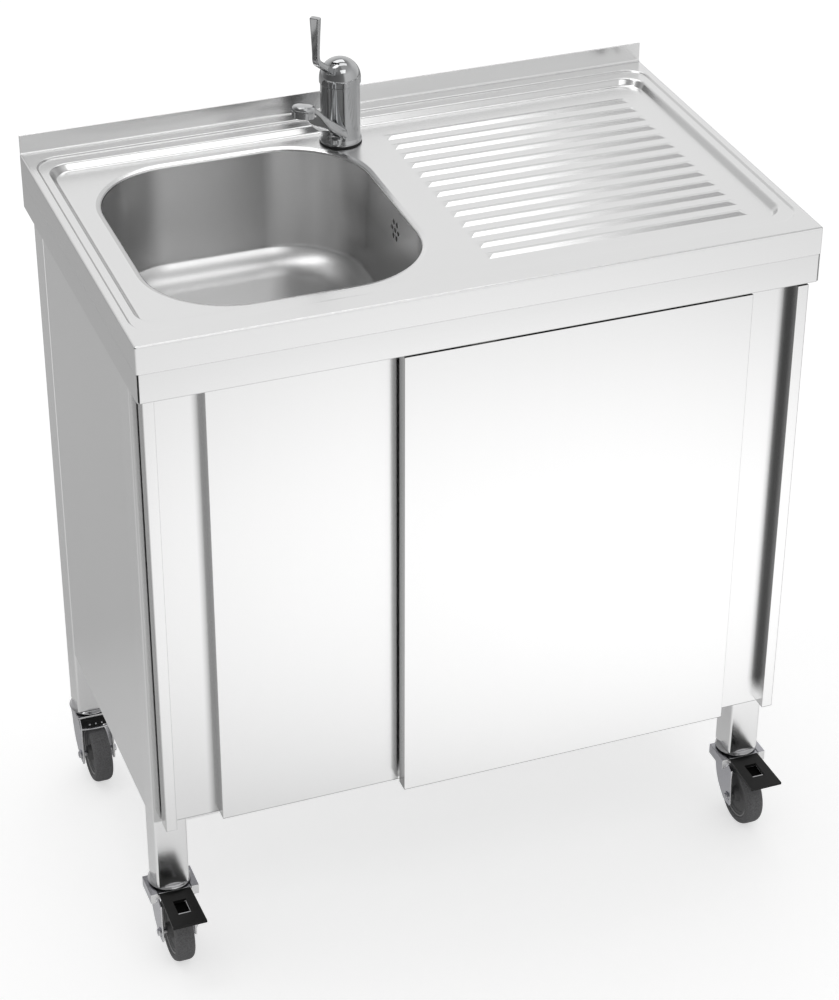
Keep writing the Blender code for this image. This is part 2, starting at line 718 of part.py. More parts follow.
def make_track():
    """Double top rail: two channels with lips, open below, between the front apron and the legs."""
    roof = TRACK_TOP - SHEET
    lip = TRACK_LOW + SHEET
    front = FRONT + SHEET + FIT
    back = FRONT + LEG_FRONT - FIT
    outline = [(front, TRACK_TOP), (front, TRACK_LOW)]
    for face in (FACE_OUTER, FACE_INNER):
        middle = face + DOOR_T / 2
        near = face + TRACK_SIDE
        far = face + DOOR_T - TRACK_SIDE
        slot = TRACK_SLOT / 2
        if face == FACE_INNER:
            outline += [(near - SHEET, roof), (near - SHEET, TRACK_LOW)]
        outline += [(middle - slot, TRACK_LOW), (middle - slot, lip), (near, lip), (near, roof)]
        outline += [(far, roof), (far, lip), (middle + slot, lip), (middle + slot, TRACK_LOW)]
        outline += [(far + SHEET, TRACK_LOW), (far + SHEET, roof)]
    outline += [(back, roof), (back, TRACK_TOP)]
    end = RIGHT - SHEET - FIT
    place("door_track", extruded(outline, -end, end, "X"), STEEL)


def make_guide():
    """Centre guide: a tongue under both doors from the floor's front lip, with a fin in each door."""
    top = DOOR_LOW - GUIDE_DROP
    half = GUIDE_L / 2
    guide = box((-half, FACE_OUTER + GUIDE_FRONT, top - SHEET), (half, FRONT + LEG_FRONT - FIT, top))
    fin = GUIDE_SLOT / 2 - GUIDE_SIDE
    for face in (FACE_OUTER, FACE_INNER):
        middle = face + DOOR_T / 2
        blade = box((-half, middle - fin, top - SHEET / 2), (half, middle + fin, DOOR_LOW + GUIDE_FIN_H))
        guide = join(guide, blade)
    place("door_guide", guide, WHITE_PLASTIC)


def tap_point(reach, height, across=0.0):
    """World point in the tap's upright plane: reach out from its axis, height over the deck."""
    return TAP_AXIS + TAP_OUT * reach + TAP_SIDE * across + UP * (DECK + height)


def tap_section(reach, height, tilt, width, thick):
    """Eight-sided section across a bar that leaves the tap at a tilt over the level."""
    normal = UP * math.cos(tilt) - TAP_OUT * math.sin(tilt)
    centre = tap_point(reach, height)
    corners = [(1, BAR_SIDE), (BAR_SHOULDER, 1), (-BAR_SHOULDER, 1), (-1, BAR_SIDE)]
    corners += [(-a, -b) for a, b in corners]
    return [centre + TAP_SIDE * (a * width / 2) + normal * (b * thick / 2) for a, b in corners]


def pointed_out(bm, start, height):
    """Turn an upright bmesh to point out of the tap's front, from a reach and height."""
    bmesh.ops.rotate(bm, verts=bm.verts, matrix=UP.rotation_difference(TAP_OUT).to_matrix())
    return moved(bm, tap_point(start, height))


def make_spout():
    """Cast spout that leaves the body steeply, levels out and ends in an upright domed head."""
    sections = []
    start = TAP_BODY_R - SPOUT_ROOT_IN
    rise = SPOUT_HEAD_TOP - SPOUT_END_T - SPOUT_ROOT_H
    for k in range(SPOUT_STEPS + 1):
        share = k / SPOUT_STEPS
        reach = start + share * (SPOUT_REACH - start)
        height = SPOUT_ROOT_H + rise * math.sin(share * math.pi / 2)
        tilt = SPOUT_ROOT_TILT + share * (SPOUT_END_TILT - SPOUT_ROOT_TILT)
        width = SPOUT_ROOT_W + share * (SPOUT_END_W - SPOUT_ROOT_W)
        thick = SPOUT_ROOT_T + share * (SPOUT_END_T - SPOUT_ROOT_T)
        sections.append(tap_section(reach, height, tilt, width, thick))
    top = SPOUT_HEAD_TOP
    rim = SPOUT_HEAD_R
    crown = rim - SPOUT_HEAD_DOME
    profile = ((0.0, top - SPOUT_HEAD_H), (rim, top - SPOUT_HEAD_H), (rim, top - SPOUT_HEAD_DOME),
               (crown, top - SPOUT_HEAD_DOME / 4), (crown / 2, top), (0.0, top))
    head = turned(profile, SMALL_SEGMENTS, tap_point(SPOUT_REACH, 0.0))
    return join(loft(sections), head)


def make_tap_body():
    """Tap body with flared base, threaded shank, cartridge bore, spout, inlets and plug socket."""
    foot = DECK + TAP_GASKET_T + 2 * FIT
    top = DECK + TAP_BODY_H
    shank = DECK - TAP_SHANK_L
    profile = (
        (0.0, shank), (TAP_SHANK_R, shank), (TAP_SHANK_R, foot),
        (TAP_BASE_R, foot), (TAP_BASE_R, foot + TAP_FOOT_H),
        (TAP_BODY_R, foot + TAP_FOOT_H + TAP_FLARE_H),
        (TAP_BODY_R, top), (TAP_BORE_R, top), (TAP_BORE_R, top - TAP_BORE_L), (0.0, top - TAP_BORE_L),
    )
    body = join(turned(profile, ROUND_SEGMENTS, TAP_AXIS), make_spout())
    tip = tap_point(SPOUT_REACH, SPOUT_HEAD_TOP - SPOUT_HEAD_H)
    mouth = rod(AERATOR_R + FIT, -AERATOR_L, AERATOR_L, SMALL_SEGMENTS, tip)
    socket = rod(PLUG_R + FIT, 0.0, TAP_BASE_R, SMALL_SEGMENTS, (0.0, 0.0, 0.0))
    body = cut(body, mouth, pointed_out(socket, TAP_BODY_R - PLUG_SOCKET, PLUG_H))
    spread = TAP_SHANK_R - TAP_INLET_WALL - TAP_INLET_R
    for side in (-1, 1):
        centre = TAP_AXIS + TAP_SIDE * (side * spread)
        inlet = rod(TAP_INLET_R, shank - TAP_INLET_L, shank + TAP_INLET_L, SMALL_SEGMENTS, centre)
        body = cut(body, inlet)
    place("tap_body", body, CHROME)
    lip = AERATOR_R - AERATOR_LIP
    deep = AERATOR_DEEP - AERATOR_OUT
    end = AERATOR_L - FIT
    profile = ((0.0, deep), (lip, deep), (lip, -AERATOR_OUT), (AERATOR_R, -AERATOR_OUT),
               (AERATOR_R, end), (0.0, end))
    place("tap_aerator", turned(profile, SMALL_SEGMENTS, tip), CHROME)


def make_tap_fittings():
    """Gasket, lock nut, cartridge and the round plug under the spout."""
    gasket_low = DECK + FIT
    inner = TAP_SHANK_R + FIT
    gasket = tube(inner, TAP_BASE_R, gasket_low, gasket_low + TAP_GASKET_T, ROUND_SEGMENTS, TAP_AXIS)
    place("tap_gasket", gasket, RUBBER)
    nut_top = UNDER_DECK - FIT
    place("tap_lock_nut", tube(inner, NUT_R, nut_top - NUT_T, nut_top, ROUND_SEGMENTS, TAP_AXIS), BRASS)
    low = DECK + TAP_BODY_H - TAP_BORE_L + FIT
    shoulder = DECK + TAP_BODY_H - CARTRIDGE_DROP
    stem_top = DECK + PIVOT_H - PIVOT_R - FIT
    radius = TAP_BORE_R - FIT
    stem = CARTRIDGE_STEM_R
    profile = ((0.0, low), (radius, low), (radius, shoulder), (stem, shoulder),
               (stem, stem_top), (0.0, stem_top))
    place("tap_cartridge", turned(profile, ROUND_SEGMENTS, TAP_AXIS), WHITE_PLASTIC)
    end = PLUG_SOCKET + PLUG_OUT
    dome = ((0.0, FIT), (PLUG_R, FIT), (PLUG_R, end - PLUG_OUT / 3), (PLUG_R / 2, end), (0.0, end))
    plug = turned(dome, SMALL_SEGMENTS, (0.0, 0.0, 0.0))
    place("tap_plug", pointed_out(plug, TAP_BODY_R - PLUG_SOCKET, PLUG_H), CHROME)


def lever_tilt():
    """Angle of the lever's rising arm over the level."""
    return math.atan2(LEVER_BEND_H - PIVOT_H, LEVER_BEND_REACH)


def make_tap_cap():
    """Domed cap that turns on the body, with a slot that clears the lever over its whole lift."""
    low = DECK + TAP_BODY_H + FIT
    spring = DECK + CAP_H - CAP_R
    inner = CAP_R - CAP_WALL
    outside = [(CAP_R, low)]
    inside = [(inner, low)]
    for k in range(DOME_STEPS):
        angle = k / DOME_STEPS * math.pi / 2
        outside.append((CAP_R * math.cos(angle), spring + CAP_R * math.sin(angle)))
        inside.append((inner * math.cos(angle), spring + inner * math.sin(angle)))
    peak = [(0.0, spring + CAP_R), (0.0, spring + inner)]
    dome = turned(outside + peak + inside[::-1], MEDIUM_SEGMENTS, TAP_AXIS)
    half = LEVER_T / 2 + SLOT_CLEAR
    outline = []
    tilt = lever_tilt()
    near = PIVOT_R
    far = 2 * CAP_R
    for angle, side, spans in ((tilt, -half, (near, far)), (tilt + LEVER_LIFT, half, (far, near))):
        for span in spans:
            outline.append((span * math.cos(angle) - side * math.sin(angle),
                            PIVOT_H + span * math.sin(angle) + side * math.cos(angle)))
    edge = LEVER_W / 2 + SLOT_CLEAR
    ends = [[tap_point(reach, height, across) for reach, height in outline] for across in (-edge, edge)]
    slot = loft(ends)
    place("tap_cap", cut(dome, slot), CHROME, TAP_AXIS + UP * low)


def make_tap_lever():
    """Long lever: a ball on the cartridge stem, a rising arm through the cap and an upright handle."""
    tilt = lever_tilt()
    bend = LEVER_BEND_R
    before = LEVER_BEND_REACH - bend
    after = LEVER_BEND_REACH + bend / 3
    stations = (
        (0.0, PIVOT_H, tilt, LEVER_W, LEVER_T),
        (before, LEVER_BEND_H - bend * math.tan(tilt), tilt, LEVER_W, LEVER_T),
        (LEVER_BEND_REACH, LEVER_BEND_H + bend / 2, (tilt + LEVER_TILT) / 2, LEVER_W, LEVER_T),
        (after, LEVER_BEND_H + 2 * bend, LEVER_TILT, LEVER_W, LEVER_T),
        (after, LEVER_TIP_H, LEVER_TILT, LEVER_TIP_W, LEVER_T),
    )
    arm = loft([tap_section(*station) for station in stations])
    centre = tap_point(0.0, PIVOT_H)
    ball = bmesh.new()
    bmesh.ops.create_uvsphere(ball, u_segments=SMALL_SEGMENTS, v_segments=SMALL_SEGMENTS // 2,
                              radius=PIVOT_R)
    place("tap_lever", join(arm, moved(ball, centre)), CHROME, centre)


def make_waste():
    """Strainer, waste body, nut and bottle trap under the middle of the bowl."""
    flange = BOWL_FLOOR + FIT
    stem_r = WASTE_HOLE_R - FIT
    stem_low = BOWL_FLOOR - SHEET - WASTE_STEM_L
    well = stem_r - WASTE_RING_T
    grid = BOWL_FLOOR - WASTE_GRID_DROP
    grid_low = grid - WASTE_GRID_T
    rim = WASTE_HOLE_R + WASTE_FLANGE
    profile = ((0.0, grid_low), (well, grid_low), (well, stem_low), (stem_r, stem_low), (stem_r, flange),
               (rim, flange), (rim - WASTE_FLANGE_EDGE, flange + WASTE_FLANGE_T), (well, flange),
               (well, grid), (0.0, grid))
    strainer = turned(profile, ROUND_SEGMENTS, WASTE)
    pitch_r = (well + WASTE_SLOT_R) / 2
    for k in range(WASTE_HOLE_COUNT):
        angle = 2 * math.pi * k / WASTE_HOLE_COUNT
        at = WASTE + Vector((math.cos(angle), math.sin(angle), 0.0)) * pitch_r
        hole = rod(WASTE_SLOT_R, grid_low - WASTE_GRID_T, grid + WASTE_GRID_T, GRID_HOLE_SEGMENTS, at)
        strainer = cut(strainer, hole)
    place("waste_strainer", strainer, STEEL)

    top = BOWL_FLOOR - SHEET - FIT
    shoulder = top - WASTE_BODY_L
    tail = shoulder - WASTE_TAIL_L
    bore = WASTE_TAIL_R - TRAP_WALL
    seat_r = stem_r + FIT
    body_r = WASTE_HOLE_R + WASTE_BODY_T
    profile = ((seat_r, top), (body_r, top), (body_r, shoulder), (WASTE_TAIL_R, shoulder),
               (WASTE_TAIL_R, tail), (bore, tail), (bore, shoulder + TRAP_WALL), (seat_r, stem_low - FIT))
    place("waste_body", turned(profile, ROUND_SEGMENTS, WASTE), WHITE_PLASTIC)

    collar = WASTE_TAIL_R + FIT
    nut_top = shoulder - FIT
    nut_low = nut_top - WASTE_NUT_T
    place("waste_nut", tube(collar, TRAP_R, nut_low, nut_top, ROUND_SEGMENTS, WASTE), WHITE_PLASTIC)

    trap_top = nut_low - FIT
    trap_low = trap_top - TRAP_H
    outlet_at = WASTE + UP * (trap_top - TRAP_OUTLET_DROP)
    length = TRAP_R + TRAP_OUTLET_L
    shell = join(rod(TRAP_R, trap_low, trap_top, ROUND_SEGMENTS, WASTE),
                 rod(TRAP_OUTLET_R, 0.0, length, MEDIUM_SEGMENTS, outlet_at, "Y"))
    hollow = rod(TRAP_R - TRAP_WALL, trap_low + TRAP_WALL, trap_top - TRAP_WALL, ROUND_SEGMENTS, WASTE)
    neck = rod(collar, trap_low + 2 * TRAP_WALL, trap_top + TRAP_WALL, ROUND_SEGMENTS, WASTE)
    way_out = rod(TRAP_OUTLET_R - TRAP_WALL, 0.0, length + TRAP_WALL, MEDIUM_SEGMENTS, outlet_at, "Y")
    place("bottle_trap", cut(shell, join(hollow, neck, way_out)), WHITE_PLASTIC)


def fork_cheek(side):
    """One side plate of a fork: wide under the yoke, tapering to a round foot at the axle."""
    foot = []
    for k in range(FOOT_STEPS + 1):
        angle = CHEEK_FOOT_TURN - math.pi * k / FOOT_STEPS
        foot.append((-TRAIL + CHEEK_FOOT_R * math.cos(angle), WHEEL_R + CHEEK_FOOT_R * math.sin(angle)))
    top = YOKE_TOP - YOKE_T / 2
    knee = YOKE_LOW - CHEEK_SLOPE
    outline = [(-CHEEK_FRONT, top), (CHEEK_BACK, top), (CHEEK_BACK, knee)] + foot
    outline.append((-CHEEK_FRONT - CHEEK_SLOPE, knee))
    return mirrored(extruded(outline, CHEEK_IN, CHEEK_OUT, "X"), side)


def make_stem(name, swivel):
    """Plug in the leg, swivel disc and king pin with its rivet head, as one piece."""
    low = YOKE_TOP + FIT
    top = LEG_LOW - FIT
    half = LEG / 2 - LEG_WALL - FIT
    side = Vector((half, half, 0.0))
    plug = box(swivel - side + UP * (low + DISC_T / 2), swivel + side + UP * (LEG_LOW + STEM_PLUG_L))
    edge = DISC_R - DISC_EDGE
    profile = ((0.0, low), (edge, low), (DISC_R, low + DISC_EDGE), (DISC_R, top - DISC_EDGE),
               (edge, top), (0.0, top))
    disc = turned(profile, MEDIUM_SEGMENTS, swivel)
    head = YOKE_ROOF - FIT
    profile = ((0.0, head - RIVET_T), (RIVET_R, head - RIVET_T), (RIVET_R, head), (KING_R, head),
               (KING_R, low + DISC_T / 3), (0.0, low + DISC_T / 3))
    king = turned(profile, SMALL_SEGMENTS, swivel)
    place(name + "_stem", join(plug, disc, king), ZINC)


def make_fork(name, swivel, braked):
    """Fork folded from plate, with boxed ears on a braked caster; its origin is on the swivel axis."""
    reach = CHEEK_OUT + YOKE_EAR if braked else CHEEK_OUT - CHEEK_T / 4
    drop = YOKE_LOW if braked else YOKE_ROOF - YOKE_T
    inside = CHEEK_IN + CHEEK_T / 2
    outline = ((-reach, YOKE_TOP), (-reach, drop), (-inside, drop), (-inside, YOKE_ROOF),
               (inside, YOKE_ROOF), (inside, drop), (reach, drop), (reach, YOKE_TOP))
    yoke = join(extruded(outline, -YOKE_FRONT, YOKE_BACK, "Y"), fork_cheek(-1), fork_cheek(1))
    king_r = KING_R + KING_CLEAR
    king_hole = rod(king_r, YOKE_ROOF - YOKE_T, YOKE_TOP + YOKE_T, SMALL_SEGMENTS, (0.0, 0.0, 0.0))
    axle_at = (0.0, -TRAIL, WHEEL_R)
    axle_hole = rod(AXLE_R + FIT, -2 * CHEEK_OUT, 2 * CHEEK_OUT, SMALL_SEGMENTS, axle_at, "X")
    place(name + "_fork", moved(cut(yoke, king_hole, axle_hole), swivel), ZINC, swivel + UP * YOKE_TOP)


def make_wheel(name, axle_at):
    """Axle bolt, hub and tyre of one caster, about the axle's line."""
    head = CHEEK_OUT + FIT
    end = head + AXLE_HEAD_T
    profile = ((0.0, -end), (AXLE_HEAD_R, -end), (AXLE_HEAD_R, -head), (AXLE_R, -head),
               (AXLE_R, head), (AXLE_HEAD_R, head), (AXLE_HEAD_R, end), (0.0, end))
    place(name + "_axle", turned(profile, SMALL_SEGMENTS, axle_at, "X"), ZINC, axle_at)

    boss = CHEEK_IN - FIT
    web = HUB_WEB_T / 2
    rim = TYRE_W / 2 - HUB_INSET
    hub_r = TYRE_BORE_R - FIT
    dish = hub_r - HUB_RIM_T
    bore = AXLE_R + FIT
    half = [(bore, boss), (HUB_BOSS_R, boss), (HUB_BOSS_R, web), (dish, web), (dish, rim), (hub_r, rim)]
    profile = half + [(radius, -across) for radius, across in half[::-1]]
    place(name + "_hub", turned(profile, MEDIUM_SEGMENTS, axle_at, "X"), HUB, axle_at)

    side = TYRE_W / 2
    half = [(TYRE_BORE_R, side - HUB_INSET), (WHEEL_R - 2 * TYRE_SHOULDER, side),
            (WHEEL_R - TYRE_SHOULDER, side), (WHEEL_R, side - 2 * TYRE_SHOULDER)]
    profile = half + [(radius, -across) for radius, across in half[::-1]]
    place(name + "_tyre", turned(profile, ROUND_SEGMENTS, axle_at, "X"), TYRE, axle_at)


def make_caster(name, x, y, braked):
    """One caster under the leg at x, y."""
    swivel = Vector((x, y, 0.0))
    make_stem(name, swivel)
    make_fork(name, swivel, braked)
    make_wheel(name, swivel + Vector((0.0, -TRAIL, WHEEL_R)))


def make_pedal(name, x, y):
    """Brake pedal plate with a square window, a hinge arm with pin ends and a shoe over the tyre."""
    top = YOKE_TOP - PEDAL_TOP_DROP
    low = top - PEDAL_T
    back = -PEDAL_BACK
    front = back - PEDAL_L
    outline = ((-PEDAL_BACK_W / 2, back), (PEDAL_BACK_W / 2, back), (PEDAL_FRONT_W / 2, front),
               (-PEDAL_FRONT_W / 2, front))
    window_back = back - PEDAL_WINDOW_AT
    half = PEDAL_WINDOW / 2
    window = box((-half, window_back - PEDAL_WINDOW, low - PEDAL_T), (half, window_back, top + PEDAL_T))
    plate = cut(extruded(outline, low, top, "Z"), window)
    pivot = Vector((0.0, PEDAL_PIVOT - YOKE_FRONT, YOKE_LOW + PEDAL_PIVOT_H))
    heel = 2 * PEDAL_PIN_R
    arm_top = YOKE_ROOF - FIT - heel * math.sin(PEDAL_PRESS)
    arm_half = CHEEK_IN - PEDAL_ARM_SIDE
    arm = box((-arm_half, back - PEDAL_T, pivot.z - PEDAL_PIN_R - FIT),
              (arm_half, pivot.y + heel, arm_top))
    pin = rod(PEDAL_PIN_R, -CHEEK_IN + FIT, CHEEK_IN - FIT, SMALL_SEGMENTS, pivot, "X")
    shoe = box((-SHOE_W / 2, -TRAIL - SHOE_L / 2, 2 * WHEEL_R + SHOE_CLEAR),
               (SHOE_W / 2, -TRAIL + SHOE_L / 2, arm_top - FIT))
    at = Vector((x, y, 0.0))
    place(name, moved(join(plate, arm, pin, shoe), at), BLACK, at + pivot)


make_worktop()
make_bowl()
make_overflow_housing()
make_aprons()
for end_name, leg_y in (("front", LEG_Y_FRONT), ("rear", LEG_Y_BACK)):
    for hand, leg_x in (("left", -LEG_X), ("right", LEG_X)):
        make_leg("leg_" + end_name + "_" + hand, leg_x, leg_y)
        make_caster("caster_" + end_name + "_" + hand, leg_x, leg_y, end_name == "front")
make_pedal("brake_pedal_left", -LEG_X, LEG_Y_FRONT)
make_pedal("brake_pedal_right", LEG_X, LEG_Y_FRONT)
make_panels()
make_track()
make_guide()
make_door("door_right", 1, FACE_OUTER)
make_door("door_left", -1, FACE_INNER)
make_hangers("door_right", 1, FACE_OUTER)
make_hangers("door_left", -1, FACE_INNER)
make_tap_body()
make_tap_fittings()
make_tap_cap()
make_tap_lever()
make_waste()
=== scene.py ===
# %% [markdown]
# # Dressing a portable sink
# A sink unit like this is folded and pressed from stainless sheet, stands on four casters and
# carries a chromed lever tap. The measured model already has every size, place and joint. This
# lesson builds the surfaces around it: soft bends, crisp drainer ribs, chrome, zinc and rubber.
# We start by loading the model; the boxes of its parts give the sizes of what we add.

import json
import math

import bmesh
import bpy
from mathutils import Matrix, Vector


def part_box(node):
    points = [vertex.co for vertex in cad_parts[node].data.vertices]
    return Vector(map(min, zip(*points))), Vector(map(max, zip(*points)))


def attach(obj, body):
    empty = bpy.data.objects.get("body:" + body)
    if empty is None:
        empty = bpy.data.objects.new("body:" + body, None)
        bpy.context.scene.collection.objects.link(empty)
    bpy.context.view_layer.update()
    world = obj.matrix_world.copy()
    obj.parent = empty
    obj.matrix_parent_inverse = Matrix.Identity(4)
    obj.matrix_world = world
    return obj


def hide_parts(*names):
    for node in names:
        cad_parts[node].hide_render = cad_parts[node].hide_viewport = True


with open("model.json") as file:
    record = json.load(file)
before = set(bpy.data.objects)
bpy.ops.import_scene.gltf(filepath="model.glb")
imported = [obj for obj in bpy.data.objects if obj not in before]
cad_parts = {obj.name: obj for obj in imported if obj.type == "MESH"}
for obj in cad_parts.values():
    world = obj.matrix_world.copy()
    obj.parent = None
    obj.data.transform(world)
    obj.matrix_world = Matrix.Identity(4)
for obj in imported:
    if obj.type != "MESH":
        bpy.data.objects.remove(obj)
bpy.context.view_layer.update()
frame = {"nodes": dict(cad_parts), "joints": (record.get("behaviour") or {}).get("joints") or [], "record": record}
SLOT_OF = {row["node"]: row["material_slot"] for row in frame["record"]["subparts"]}
BODY_OF = {node: body for body, nodes in frame["record"]["behaviour"]["bodies"].items() for node in nodes}
JOINT = {joint["name"]: joint for joint in frame["joints"]}

# %% [markdown]
# ## A short way to write node graphs
# Every finish below is a small graph of nodes. Linking them by hand takes four lines a node, so
# we wrap a socket in a class that knows arithmetic: `grain * 0.2 + 0.3` then makes two Math nodes.
# One method, `add`, makes every other kind of node. It sets the node's options first, because
# some options change which sockets exist, and fills the sockets afterwards.


# %% Sockets that do arithmetic
class Wire:
    """An output socket that can be used in sums."""

    def __init__(self, graph, socket):
        self.graph = graph
        self.socket = socket

    def math(self, operation, first, second):
        return self.graph.add("ShaderNodeMath", {0: first, 1: second}, operation=operation)

    def __add__(self, other):
        return self.math("ADD", self, other)

    def __radd__(self, other):
        return self.math("ADD", other, self)

    def __sub__(self, other):
        return self.math("SUBTRACT", self, other)

    def __rsub__(self, other):
        return self.math("SUBTRACT", other, self)

    def __mul__(self, other):
        return self.math("MULTIPLY", self, other)

    def __rmul__(self, other):
        return self.math("MULTIPLY", other, self)

    def __truediv__(self, other):
        return self.math("DIVIDE", self, other)

    def __rtruediv__(self, other):
        return self.math("DIVIDE", other, self)

    def __pow__(self, other):
        return self.math("POWER", self, other)

    def __rpow__(self, other):
        return self.math("POWER", other, self)


class Graph:
    """A node tree that is written as sums and calls."""

    def __init__(self, tree):
        self.tree = tree

    def add(self, kind, inputs=None, out=0, stops=(), **settings):
        node = self.tree.nodes.new(kind)
        for name, value in settings.items():
            setattr(node, name, value)
        if stops:
            marks = node.color_ramp.elements
            marks.remove(marks[1])
            marks[0].position = stops[0][0]
            for place, _ in stops[1:]:
                marks.new(place)
            for mark, (_, level) in zip(marks, stops):
                mark.color = (level, level, level, 1.0)
        for name, value in (inputs or {}).items():
            if isinstance(value, Wire):
                self.tree.links.new(value.socket, node.inputs[name])
            else:
                node.inputs[name].default_value = value
        return Wire(self, node.outputs[out])


print("graph helpers ready")

# %% [markdown]
# ## Satin steel
# Stainless sheet is finished on a belt, which leaves fine scratches all in one direction. Up close
# they are grooves; from a metre away they only spread the reflection a little more in places. We
# draw them as noise squeezed thin across the grain and pulled long with it. The noise moves the
# roughness and tips the normal a little, and a slow cloud shifts the tone by a few percent, as on
# any rolled sheet. Object coordinates keep the grain fixed to the metal.
#
# Folded-over edges, the walls of the door pulls and the tube behind the doors get painted shade: a
# darker colour that stands in for the shade they fall in. A mask finds them by the way they face.


# %% Steel finishes
FINE, LONG, CLOUD = 620.0, 5.0, 3.1
CLOUD_DARK, GROOVE_DEPTH = 0.965, 0.0004
BROAD, FOLDED = 0.97, 0.70
HALF_WIDTH = 0.40


def principled(name, **constants):
    """A new material; constants go straight onto the shader's sockets."""
    made = bpy.data.materials.new(name)
    made.use_nodes = True
    graph = Graph(made.node_tree)
    shader = made.node_tree.nodes["Principled BSDF"]
    for socket, value in constants.items():
        shader.inputs[socket.replace("_", " ")].default_value = value
    return made, graph, shader


def plug(graph, shader, **wires):
    """Link wires to the shader's sockets."""
    for socket, wire in wires.items():
        graph.tree.links.new(wire.socket, shader.inputs[socket.replace("_", " ")])


def noise(graph, stretch, detail=2.0):
    """Noise in object space, with its own scale on each axis."""
    where = graph.add("ShaderNodeTexCoord", out="Object")
    squeezed = graph.add("ShaderNodeVectorMath", {0: where, 1: stretch}, operation="MULTIPLY")
    return graph.add("ShaderNodeTexNoise", {"Vector": squeezed, "Scale": 1.0, "Detail": detail})


def grey(level):
    """A neutral colour."""
    return level, level, level


def tone(graph, factor, dark, light):
    """A colour between two, chosen by a wire from 0 to 1."""
    return graph.add("ShaderNodeMix", {"Factor": factor, 6: (*dark, 1.0), 7: (*light, 1.0)}, out=2,
                     data_type="RGBA")


def part_of(graph, output, axis):
    """One component of a texture coordinate."""
    parts = graph.add("ShaderNodeSeparateXYZ", {0: graph.add("ShaderNodeTexCoord", out=output)})
    return Wire(graph, parts.socket.node.outputs[axis])


def ramp(graph, wire, start, end):
    """A wire mapped to 0 at the start and 1 at the end."""
    return graph.add("ShaderNodeMapRange", {"Value": wire, "From Min": start, "From Max": end})


def squarely(graph, axis):
    """How squarely a face looks along an axis, either way, from 0 to 1."""
    return graph.add("ShaderNodeMath", {0: part_of(graph, "Normal", axis)}, operation="ABSOLUTE")


def larger(graph, first, second):
    """The larger of two values at each point."""
    return graph.add("ShaderNodeMath", {0: first, 1: second}, operation="MAXIMUM")


def folds(axis, level=None, places=()):
    """Painted shade on all that does not face the axis: one grey, or greys at places from left to right."""
    def fold_shade_of(graph):
        mask = ramp(graph, squarely(graph, axis), BROAD, FOLDED)
        if level:
            return mask, (*grey(level), 1.0)
        place = ramp(graph, part_of(graph, "Object", 0), -HALF_WIDTH, HALF_WIDTH)
        stops = [(x / (2 * HALF_WIDTH) + 0.5, shade) for x, shade in places]
        return mask, graph.add("ShaderNodeValToRGB", {"Fac": place}, stops=stops)
    return fold_shade_of


def satin_steel(name, colour, rough, stretch, spread=0.05, groove=0.010, painted_shade=None):
    """Belt-finished stainless steel with its grain along the axis of smallest stretch."""
    made, graph, shader = principled(name, Metallic=1.0)
    grain = noise(graph, stretch, 3.0)
    cloud = noise(graph, (CLOUD,) * 3, 1.0)
    dark = [CLOUD_DARK * part for part in colour]
    sheet = tone(graph, cloud, dark, colour)
    # painted shade: where the mask says, a darker colour is mixed into the sheet
    if painted_shade:
        mask, shade_tone = painted_shade(graph)
        sheet = graph.add("ShaderNodeMix", {"Factor": mask, 6: sheet, 7: shade_tone}, out=2, data_type="RGBA")
    plug(graph, shader, Base_Color=sheet)
    plug(graph, shader, Roughness=grain * spread + (rough - spread / 2))
    bump = graph.add("ShaderNodeBump", {"Strength": groove, "Distance": GROOVE_DEPTH, "Height": grain})
    plug(graph, shader, Normal=bump)
    return made


ALONG_X, ALONG_Y, ALONG_Z = (LONG, FINE, FINE), (FINE, LONG, FINE), (FINE, FINE, LONG)
DRAWN = (240.0, 240.0, 60.0)
TOP_GREY, PANEL, SIDE_GREY, BOWL_GREY = grey(0.80), grey(0.92), grey(0.90), grey(0.74)
FINISH = {
    "worktop_steel": satin_steel("worktop_steel", TOP_GREY, 0.22, ALONG_X, 0.03, 0.004),
    "panel_steel": satin_steel("panel_steel", PANEL, 0.20, ALONG_Z),
}


def top_light_and_shade(graph):
    """Painted shade on the pressed steps that look to the right, painted light on the folded front."""
    steps = ramp(graph, part_of(graph, "Normal", 0), 0.12, 0.34)
    front = ramp(graph, part_of(graph, "Normal", 1), -0.60, -0.95)
    return larger(graph, steps, front), tone(graph, front, grey(0.42), PANEL)


BEHIND_DOORS = 0.2018


def tube_shade_behind_doors(graph):
    """Painted shade on the front of a leg, above the doors' lower edge, where the doors shade it."""
    height = part_of(graph, "Object", 2)
    hidden = ramp(graph, height, BEHIND_DOORS - 0.001, BEHIND_DOORS + 0.001)
    front = ramp(graph, squarely(graph, 1), 0.40, 0.80)
    return front * hidden, tone(graph, height, grey(0.58), grey(0.54))


DOOR_LOW, DOOR_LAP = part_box("door_right")[0].z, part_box("door_right")[0].x
DOOR_ENDS = (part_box("door_left")[0].x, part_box("door_right")[1].x)
# Greys of the painted shade on the doors' folds, from left to right
DOOR_GREYS = ((-0.385, 0.60), (-0.370, 0.60), (-0.120, 0.60), (-0.095, 0.36), (0.10, 0.36), (0.30, 0.34))
PULL_LEFT, PULL_RIGHT = (-0.3756, -0.3194), (0.3194, 0.3756)
# A wall's place, the width and share of the painted shade before it, and the length over which its foot fades
PULL_WALLS = ((PULL_LEFT[1], 0.0135, 0.62, 0.0), (PULL_RIGHT[1], 0.0175, 1.0, 0.030),
              (DOOR_LAP, 0.0095, 0.55, 0.0))
# Shares and widths of the painted shade lines along the doors' lower edge and side edges
LOW_EDGE_SHARE, LINE_HALF, LINE_SHARE, FADE_FROM = 0.7, 0.0009, 0.45, 0.008


